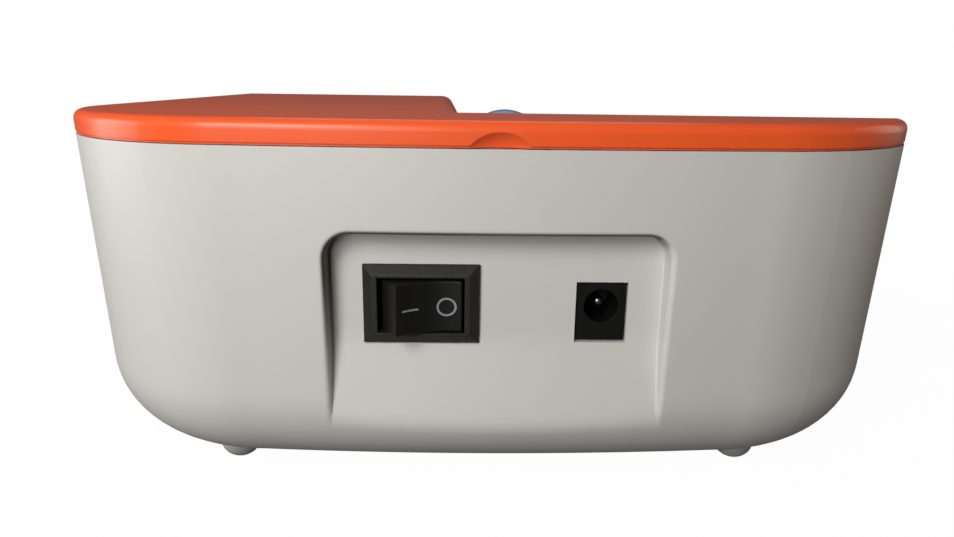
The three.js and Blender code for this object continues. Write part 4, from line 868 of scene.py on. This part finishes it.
def step_fillet():
    """The concave round between the deck and the block's end, rolled along the step."""
    rings = []
    for y in np.linspace(CREST_Y + FILLET_START, FRONT_Y - 26, 60):
        deck = -(y - CREST_Y) * math.tan(DECK_SLOPE)
        top = -max(0, y - BLOCK_Y) * math.tan(PRINTER_SLOPE)
        radius = min(STEP_FILLET, 0.6 * (top - deck))
        middle_z = deck + radius - 0.02
        if middle_z > -BLOCK_ROUND:
            over = middle_z + BLOCK_ROUND
            spread = math.sqrt(max((BLOCK_ROUND + radius) ** 2 - over**2, 0))
            middle_x = spread - BLOCK_ROUND
            lean = math.atan2(over, spread)
        else:
            middle_x = radius
            lean = 0.0
        step = STEP_X - (y - CREST_Y) * math.tan(STEP_SKEW)
        outline = []
        for turn in np.linspace(-math.pi / 2, -math.pi + lean, 10):
            outline.append((middle_x + radius * math.cos(turn), middle_z + radius * math.sin(turn)))
        touch_x, touch_z = outline[-1]
        outline.append((touch_x - 0.5 * math.cos(lean), touch_z - 0.5 * math.sin(lean) - 0.05))
        outline.append((touch_x - 0.5 * math.cos(lean), deck - FILLET_ROOT))
        outline.append((middle_x, deck - FILLET_ROOT))
        rings.append(np.array([(step + x, y, RIM_TOP + z) for x, z in outline]))
    piece = skin_mesh("step_fillet", rings)
    face_outwards(piece)
    return piece


def roof_over(x, y):
    """Height of the cover's skin over the front of a screw boss."""
    return RIM_TOP if x < STEP_X else float(seam_at(y + BOSS_RADIUS)) + RIM_HEIGHT


deck_frame = Matrix.Translation(Vector((0, CREST_Y, RIM_TOP)) * MM) @ Matrix.Rotation(
    -DECK_SLOPE, 4, "X"
)
slope_frame = Matrix.Translation(Vector((PRINTER_X, BLOCK_Y, RIM_TOP)) * MM) @ Matrix.Rotation(
    -PRINTER_SLOPE, 4, "X"
)


def rounded_plate(low, high, radius, frame_matrix):
    """A box with its four upright edges rounded, in a local frame."""
    piece = block(low, high)
    corners = [(x, y) for x in (low[0], high[0]) for y in (low[1], high[1])]
    for corner in corners:
        round_edges(
            piece,
            radius,
            8,
            lambda p, c=corner: abs(p.x - c[0]) < NEAR and abs(p.y - c[1]) < NEAR,
        )
    piece.data.transform(frame_matrix)
    return piece


def glass_plate(margin, low, high):
    """A plate with the outline of the display glass, wider by a margin on every side."""
    return rounded_plate(
        (GLASS_X[0] - margin, GLASS_ALONG[0] - margin, low),
        (GLASS_X[1] + margin, GLASS_ALONG[1] + margin, high),
        GLASS_CORNER,
        deck_frame,
    )


GLASS_X = (0.5, 76.5)
GLASS_ALONG = (47, 103)
GLASS_CORNER = 3
LEDGE = 3
GLASS_SEAT = -1.8 - SEAT_GAP
PAD_BOTTOM = GLASS_SEAT - 2.2
PAD_MARGIN = 4
BUTTON_AT = (3.9, 33.2)
KEY_HOLE = 7.4
COLLAR_WALL = 1.3
COLLAR_FLARE = 1.3
COLLAR_TOP = 1.2
PAPER_HALF_WIDTH = 28.77
PAPER_ALONG = (11.1, 45.3)
RELEASE_HALF_WIDTH = 9.4
RELEASE_ALONG = (2.9, 9.1)

cover = cover_solid("cover", 0)
combine(cover, "UNION", step_fillet())
combine(cover, "DIFFERENCE", cover_solid("cover_hollow", WALL))
collar_profile = [
    (0, -WALL / 2),
    (KEY_HOLE + COLLAR_WALL + COLLAR_FLARE, -WALL / 2),
    (KEY_HOLE + COLLAR_WALL + COLLAR_FLARE, 0),
    (KEY_HOLE + COLLAR_WALL + 0.1, COLLAR_TOP - 0.45),
    (KEY_HOLE + COLLAR_WALL - 0.12, COLLAR_TOP - 0.12),
    (KEY_HOLE + COLLAR_WALL - 0.45, COLLAR_TOP),
    (0, COLLAR_TOP),
]
notch_back = block(
    (-NOTCH_BACK, REAR_Y + 0.5, SEAM_Z + SEAM_GAP), (NOTCH_BACK, REAR_Y + 3.6, RIM_TOP - WALL / 2)
)
combine(
    cover,
    "UNION",
    [
        glass_plate(PAD_MARGIN, PAD_BOTTOM, -WALL / 2),
        lathe_turned(collar_profile, BUTTON_AT, 96, deck_frame),
        notch_back,
        *[
            rod(BOSS_RADIUS, (x, y, BOSS_TOP + SEAT_GAP), (x, y, roof_over(x, y) - WALL / 2))
            for x, y in SCREW_PLACES
        ],
    ],
)

SCOOP_RADIUS = (NOTCH_RADIUS**2 + NOTCH_DEPTH**2) / (2 * NOTCH_DEPTH)
bpy.ops.mesh.primitive_uv_sphere_add(
    segments=192,
    ring_count=128,
    radius=SCOOP_RADIUS * MM,
    location=Vector((0, REAR_Y - SCOOP_RADIUS + NOTCH_DEPTH, NOTCH_Z)) * MM,
)
scoop = settle()
combine(
    cover,
    "DIFFERENCE",
    [
        rod(KEY_HOLE, (*BUTTON_AT, -6), (*BUTTON_AT, 5), sides=96, frame_matrix=deck_frame),
        glass_plate(SEAT_GAP, GLASS_SEAT, OVERRUN),
        *[
            block((-half, along[0], -WALL - OVERRUN), (half, along[1], OVERRUN), slope_frame)
            for half, along in (
                (PAPER_HALF_WIDTH, PAPER_ALONG),
                (RELEASE_HALF_WIDTH, RELEASE_ALONG),
            )
        ],
        scoop,
        *[
            rod(SCREW_HOLE_RADIUS, (x, y, BOSS_TOP - OVERRUN), (x, y, SCREW_HOLE_END))
            for x, y in SCREW_PLACES
        ],
    ],
    glass_plate(-LEDGE, PAD_BOTTOM - OVERRUN, 0),
)
smooth(cover, 34, lambda p: abs(p.y - CREST_Y) < 0.14 and p.z > RIM_TOP - 0.02)

# ABS from a polished tool: semi-gloss, with a faint flow of colour and hardly any texture
orange_abs = moulded(
    "polished_orange_abs", ("#F4602D", "#F05A28"), 0.3, 0.8, 0.0006, shine=0.36
)
dress(cover, "cover", orange_abs, "orange_cover", "case", "top_cover")

# Start key. A blue domed cap, moulded in polished ABS, held under the deck by its flange.
DOME_RADIUS = 10.6
BUTTON_RADIUS = 7
STEM_RADIUS = 1.6
STEM_END = -4.35
FLANGE_RADIUS = 8.4
FLANGE_LOW = -3.8
FLANGE_HIGH = -2.8
dome_turn = math.asin(BUTTON_RADIUS / DOME_RADIUS)
button_profile = [
    (0, STEM_END),
    (STEM_RADIUS, STEM_END),
    (STEM_RADIUS, FLANGE_LOW),
    (FLANGE_RADIUS, FLANGE_LOW),
    (FLANGE_RADIUS, FLANGE_HIGH),
    (BUTTON_RADIUS, FLANGE_HIGH),
    (BUTTON_RADIUS, 0.05),
    (BUTTON_RADIUS - 0.05, 0.27),
    (BUTTON_RADIUS - 0.2, 0.43),
]
for turn in np.linspace(dome_turn * 0.955, 0, 14):
    button_profile.append(
        (
            DOME_RADIUS * math.sin(turn),
            0.3 + DOME_RADIUS * (math.cos(turn) - math.cos(dome_turn)),
        )
    )
start_key = lathe_turned(button_profile, BUTTON_AT, 96, deck_frame)
smooth(start_key, 40)
blue_abs = moulded("polished_blue_abs", ("#4E9CD2", "#4695CC"), 0.24, 0.6, 0.0004, 20.0)
dress(start_key, "start_key", blue_abs, "blue_key", "start_key", "start_button")

# Power switch. A snap-in frame of glass-filled nylon with chamfered edges and an open well, and
# in it a dished rocker that is shown with its O end pressed. The marks are printed in grey.
BEZEL_HALF_WIDTH = 21.3 / 2
BEZEL_HALF_HEIGHT = 7.5
BEZEL_PROUD = 2
BEZEL_CHAMFER = 1.75
CHAMFER_DEPTH = 1.3
WELL_HALF_WIDTH = 7.9
WELL_HALF_HEIGHT = 5.2
BODY_DEPTH = 14
BODY_WALL = 1.4
bezel_side_y = PANEL_Y - BEZEL_PROUD + CHAMFER_DEPTH


def switch_box(half_width, near, far, half_height):
    return block(
        (SWITCH_X - half_width, near, SWITCH_Z - half_height),
        (SWITCH_X + half_width, far, SWITCH_Z + half_height),
    )


switch_frame = switch_box(BEZEL_HALF_WIDTH, bezel_side_y, PANEL_Y - 0.05, BEZEL_HALF_HEIGHT)
open_mesh(switch_frame, "DESELECT")
bpy.ops.mesh.select_mode(type="FACE")
bpy.ops.object.mode_set(mode="OBJECT")
for face in switch_frame.data.polygons:
    face.select = face.normal.y < -0.5
bpy.ops.object.mode_set(mode="EDIT")
bpy.ops.mesh.inset(thickness=BEZEL_CHAMFER * MM, depth=CHAMFER_DEPTH * MM)
bpy.ops.object.mode_set(mode="OBJECT")
combine(
    switch_frame,
    "UNION",
    switch_box(BODY_HALF_WIDTH, bezel_side_y, PANEL_Y + BODY_DEPTH, BODY_HALF_HEIGHT),
)
combine(
    switch_frame,
    "DIFFERENCE",
    switch_box(
        WELL_HALF_WIDTH, PANEL_Y - 2 * OVERRUN, PANEL_Y + BODY_DEPTH - BODY_WALL, WELL_HALF_HEIGHT
    ),
)
break_edges(switch_frame, 0.16, 3, 25)
smooth(switch_frame, 40)

# Glass-filled nylon: near black, dull, with a spark grain of 0.3 mm that shows on the bevels
black_nylon = moulded("black_switch_nylon", ("#2B2B28", "#222220"), 0.46, 0.3, 0.08, 1.2, 0.25)
dress(switch_frame, "switch_bezel", black_nylon, "black_plastic", "case", "switch_frame")

ROCKER_PIVOT = (SWITCH_X, PANEL_Y + 1.2, SWITCH_Z)
ROCKER_THROW = math.radians(17.1)
ROCKER_RISE = 5.54
ROCKER_HALF_HEIGHT = 4.8
ROCKER_HALF_WIDTH = 7.5
ROCKER_TOP_HALF = 6.1426
HEEL_HALF = 3
HEEL_DEPTH = 3.4
DISH_RADIUS = 12.8733
dish_turn = math.asin(ROCKER_TOP_HALF / DISH_RADIUS)
rocker_frame = Matrix.Translation(Vector(ROCKER_PIVOT) * MM) @ Matrix.Rotation(ROCKER_THROW, 4, "Z")


def dish_at(x):
    """Depth of the rocker's dished face at a distance from its middle, before it is turned."""
    return math.sqrt(DISH_RADIUS**2 - x**2) - DISH_RADIUS * math.cos(dish_turn) - ROCKER_RISE


rocker_outline = [(-HEEL_HALF, HEEL_DEPTH), (-ROCKER_HALF_WIDTH, 0)]
rocker_outline += [(x, dish_at(x)) for x in np.linspace(-ROCKER_TOP_HALF, ROCKER_TOP_HALF, 33)]
rocker_outline += [(ROCKER_HALF_WIDTH, 0), (HEEL_HALF, HEEL_DEPTH)]
rocker_rings = [
    np.array([(x, y, z) for x, y in rocker_outline])
    for z in (-ROCKER_HALF_HEIGHT, ROCKER_HALF_HEIGHT)
]
rocker = skin_mesh("rocker", rocker_rings)
face_outwards(rocker)
break_edges(rocker, 0.38, 4, 25)
rocker.data.transform(rocker_frame)
smooth(rocker, 40)
black_rocker = moulded("black_rocker_nylon", ("#121212", "#0D0D0D"), 0.5, 0.3, 0.04, 1.5, 0.25)
dress(rocker, "rocker_key", black_rocker, "black_plastic", "rocker", "switch_rocker")

MARK_PROUD = 0.03
MARK_SUNK = 0.12
BAR_MIDDLE = -0.15
BAR_ENDS = (-4.83, -1.65)
BAR_HALF = 0.18
RING_MIDDLE = 3.47
RING_OUTER = 1.75
RING_STROKE = 0.36


def printed_mark(name, rows):
    """A thin print that follows the dished face, from rows of (x, z) points that form a band."""
    front = [[(x, dish_at(x) - MARK_PROUD, z) for x, z in row] for row in rows]
    back = [[(x, dish_at(x) + MARK_SUNK, z) for x, z in row] for row in rows]
    across = len(rows[0])
    closed = rows[0] == rows[-1]
    count = len(rows) - 1 if closed else len(rows)
    vertices = [point for row in front[:count] + back[:count] for point in row]
    shift = count * across
    faces = []
    for row in range(len(rows) - 1):
        after = (row + 1) % count
        for place in range(across - 1):
            a, b = row * across + place, after * across + place
            faces.append((a, a + 1, b + 1, b))
            faces.append((a + shift, b + shift, b + shift + 1, a + shift + 1))
        for place in (0, across - 1):
            a, b = row * across + place, after * across + place
            faces.append((a, b, b + shift, a + shift))
    if not closed:
        for row in (0, count - 1):
            for place in range(across - 1):
                a = row * across + place
                faces.append((a, a + 1, a + 1 + shift, a + shift))
    mesh = bpy.data.meshes.new(name)
    mesh.from_pydata([tuple(Vector(point) * MM) for point in vertices], [], faces)
    piece = bpy.data.objects.new(name, mesh)
    bpy.context.scene.collection.objects.link(piece)
    face_outwards(piece)
    piece.data.transform(rocker_frame)
    smooth(piece, 40)
    return piece


bar_rows = [
    [(x, BAR_MIDDLE - BAR_HALF), (x, BAR_MIDDLE + BAR_HALF)] for x in np.linspace(*BAR_ENDS, 13)
]
ring_rows = []
for turn in np.linspace(0, 2 * math.pi, 49)[:-1]:
    radii = np.linspace(RING_OUTER - RING_STROKE, RING_OUTER, 3)
    ring_rows.append(
        [(RING_MIDDLE + r * math.cos(turn), -0.06 + r * math.sin(turn)) for r in radii]
    )
ring_rows.append(ring_rows[0])

# Pad-printed grey ink, thin and slightly uneven
mark_ink = moulded("grey_pad_print_ink", ("#8E9398", "#80858A"), 0.5, 0.15, 0.004, 0.8)
for name, rows in (("mark_on", bar_rows), ("mark_off", ring_rows)):
    dress(printed_mark(name, rows), name, mark_ink, "black_plastic", "rocker")

# Power inlet. A black moulded barrel socket with a round bore, a plated centre pin with a
# rounded nose and a sprung contact leaf in the bottom of the bore.
JACK_FACE = PANEL_Y + 0.5
JACK_END = JACK_FACE + 14
BORE_Z = JACK_Z + JACK_HALF_HEIGHT - 4.4
BORE_RADIUS = 3.2
BORE_END = JACK_FACE + 9.5
PIN_RADIUS = 1
PIN_TIP = JACK_FACE + 2.4
PIN_NOSE = 0.9
LEAF_START = JACK_FACE + 3.3
LEAF_LENGTH = 5.9
LEAF_BEND = 0.75
LEAF_THICK = 0.4

jack_body = block(
    (JACK_X - JACK_HALF_WIDTH, JACK_FACE, JACK_Z - JACK_HALF_HEIGHT),
    (JACK_X + JACK_HALF_WIDTH, JACK_END, JACK_Z + JACK_HALF_HEIGHT),
)
combine(
    jack_body,
    "DIFFERENCE",
    rod(BORE_RADIUS, (JACK_X, JACK_FACE - OVERRUN, BORE_Z), (JACK_X, BORE_END, BORE_Z), "Y", 96),
    rod(
        PIN_RADIUS + SEAT_GAP,
        (JACK_X, JACK_FACE, BORE_Z),
        (JACK_X, BORE_END + WALL, BORE_Z),
        "Y",
        32,
    ),
    block((JACK_X - 1.3, JACK_FACE + 3, BORE_Z - 3.9), (JACK_X + 1.3, BORE_END - 0.2, BORE_Z)),
)
break_edges(jack_body, 0.16, 3, 30)
smooth(jack_body, 40)
black_socket = moulded("black_socket_abs", ("#111111", "#0D0D0D"), 0.4, 0.25, 0.006, 2.0, 0.25)
dress(jack_body, "inlet_body", black_socket, "black_plastic", "case", "jack_body")

jack_pin = rod(
    PIN_RADIUS,
    (JACK_X, PIN_TIP, BORE_Z),
    (JACK_X, BORE_END + WALL - SEAT_GAP, BORE_Z),
    "Y",
    48,
)
round_edges(jack_pin, PIN_NOSE, 10, lambda p: abs(p.y - PIN_TIP) < NEAR)
smooth(jack_pin, 40)


def metal(name, tones, roughness, grain, depth):
    """Bare or plated metal: two close tones, and fine marks of a size and depth in millimetres."""
    material = moulded(name, tones, roughness, grain, depth, 6.0)
    shader = material.node_tree.nodes["Principled BSDF"]
    shader.inputs["Metallic"].default_value = 1.0
    return material


# Nickel plate on brass, dulled by use
dull_nickel = metal("dull_nickel_plate", ("#8F9092", "#7C7D80"), 0.28, 0.4, 0.002)
dress(jack_pin, "inlet_pin", dull_nickel, "steel", "case", "jack_pin")

leaf_low = BORE_Z - BORE_RADIUS - LEAF_THICK
jack_leaf = block(
    (JACK_X - 1, LEAF_START, leaf_low), (JACK_X + 1, BORE_END - SEAT_GAP, leaf_low + LEAF_THICK)
)
open_mesh(jack_leaf)
bpy.ops.mesh.subdivide(number_cuts=11)
bpy.ops.object.mode_set(mode="OBJECT")
for vertex in jack_leaf.data.vertices:
    along = (vertex.co.y / MM - LEAF_START) / LEAF_LENGTH
    vertex.co.z += LEAF_BEND * math.sin(math.pi * min(max(along, 0), 1)) ** 2 * MM
smooth(jack_leaf, 40)
dress(jack_leaf, "inlet_leaf", dull_nickel, "steel", "case", "jack_contact")

# Display. A black-bordered touch glass in the deck's seat, with a dark unlit picture area.
GLASS_LOW = -1.95
GLASS_HIGH = -0.15
PICTURE_LOW = (6, 52.5, -0.2)
PICTURE_HIGH = (71, 97.5, -0.12)
PICTURE_CORNER = 0.6

display = glass_plate(0, GLASS_LOW, GLASS_HIGH)
break_edges(display, 0.3, 3, 60)
smooth(display, 40)
# Float glass printed black on its back: a mirror-like face with faint smears
touch_glass = moulded("black_backed_glass", ("#0C0E10", "#101214"), 0.07, 9.0, 0.0002, 30.0)
dress(display, "display_touch_glass", touch_glass, "display_glass", "case", "display_glass")
picture = rounded_plate(PICTURE_LOW, PICTURE_HIGH, PICTURE_CORNER, deck_frame)
smooth(picture, 40)
# The liquid crystal behind the glass is a dull blue grey when it is off
unlit_panel = moulded("unlit_liquid_crystal", ("#26303A", "#222B34"), 0.12, 12.0, 0.0002, 40.0)
dress(picture, "display_picture", unlit_panel, "display_glass", "case")


# Printer, tray and drive. The printed-strip door and its roller, the sliding cartridge tray on
# its rails, the pinion and motor, the optical head, the boards, leads and screws are moulded,
# turned or stamped pieces whose solids are carried over, with their edges broken except on the
# leads.
def carried_over(node, material, edge):
    """A copy of a node's solid, its facets merged and its edges broken, that stands for it."""
    part = next(part for part in frame["record"]["subparts"] if part["node"] == node)
    bodies = frame["record"]["behaviour"]["bodies"]
    body = next(name for name, nodes in bodies.items() if node in nodes)
    copy = bpy.data.objects.new(node, frame["nodes"][node].data.copy())
    bpy.context.scene.collection.objects.link(copy)
    only(copy)
    bpy.ops.mesh.customdata_custom_splitnormals_clear()
    open_mesh(copy)
    bpy.ops.mesh.remove_doubles(threshold=0.001 * MM)
    bpy.ops.mesh.dissolve_limited(angle_limit=math.radians(1))
    bpy.ops.object.mode_set(mode="OBJECT")
    if edge:
        break_edges(copy, edge, 2, 40)
    smooth(copy, 35)
    dress(copy, node + "_finished", material, part["material_slot"], body, node)


# White acetal slides and gears: waxy and even
white_acetal = moulded("white_acetal", ("#E8E7E3", "#E1E0DB"), 0.38, 0.4, 0.001, 15.0)
# Black ABS for hidden mouldings, satin
black_abs = moulded("black_inner_abs", ("#242423", "#1D1D1C"), 0.5, 0.3, 0.004, 5.0)
# Ground black rubber of the paper roller
roller_rubber = moulded("ground_black_rubber", ("#2A2A2A", "#232323"), 0.75, 0.12, 0.006, 2.0)
# Zinc-plated stamped steel, bright, with fine roll marks
zinc_steel = metal("zinc_plated_steel", ("#C3C6C9", "#B4B7BB"), 0.32, 0.6, 0.002)
# Fibreglass board under green solder resist, with traces that show as faint ridges
solder_resist = moulded("green_solder_resist", ("#1F6B3C", "#1B5F36"), 0.35, 1.2, 0.01, 3.0)
# Clear acrylic and glass of the optics, faintly blue
clear_optic = moulded("clear_optic_glass", ("#D4E8F0", "#CBE2EC"), 0.05, 2.0, 0.0002, 8.0)
clear_optic.node_tree.nodes["Principled BSDF"].inputs["Transmission Weight"].default_value = 0.85
# Soft PVC of the leads, slightly greasy
red_pvc = moulded("red_lead_pvc", ("#B3221C", "#A91E19"), 0.42, 0.3, 0.002, 5.0)

finish_of = {
    white_acetal: ("cartridge_tray", "drive_pinion"),
    grey_abs: ("tray_front",),
    orange_abs: ("printer_door",),
    blue_abs: ("door_release",),
    roller_rubber: ("platen_roller",),
    black_abs: (
        "printer_bay",
        "tray_rail_left",
        "tray_rail_right",
        "tray_sensor",
        "head_bridge",
        "optical_head",
        "filter_capacitor",
        "tact_switch",
        "processor",
        "buzzer",
    ),
    zinc_steel: (
        *["case_screw_" + ends for ends in CASE_ENDS],
        "switch_terminal_1",
        "switch_terminal_2",
        "lcd_module",
        *["board_screw_" + number for number in "1234"],
        "motor_shaft",
        "stepper_motor",
        "motor_bracket",
        "hinge_pin",
        "print_head",
        "tear_bar",
    ),
    solder_resist: ("power_board", "main_board", "photodiode_board"),
    clear_optic: ("head_lens", "head_filter", "excitation_led"),
}
THIN_EDGE = 0.06
SOFT_EDGE = 0.25
soft_nodes = ("cartridge_tray", "printer_door", "door_release", "tray_front", "printer_bay")
for material, nodes in finish_of.items():
    for node in nodes:
        carried_over(node, material, SOFT_EDGE if node in soft_nodes else THIN_EDGE)
carried_over("switch_lead", red_pvc, 0)
carried_over("board_lead", black_abs, 0)
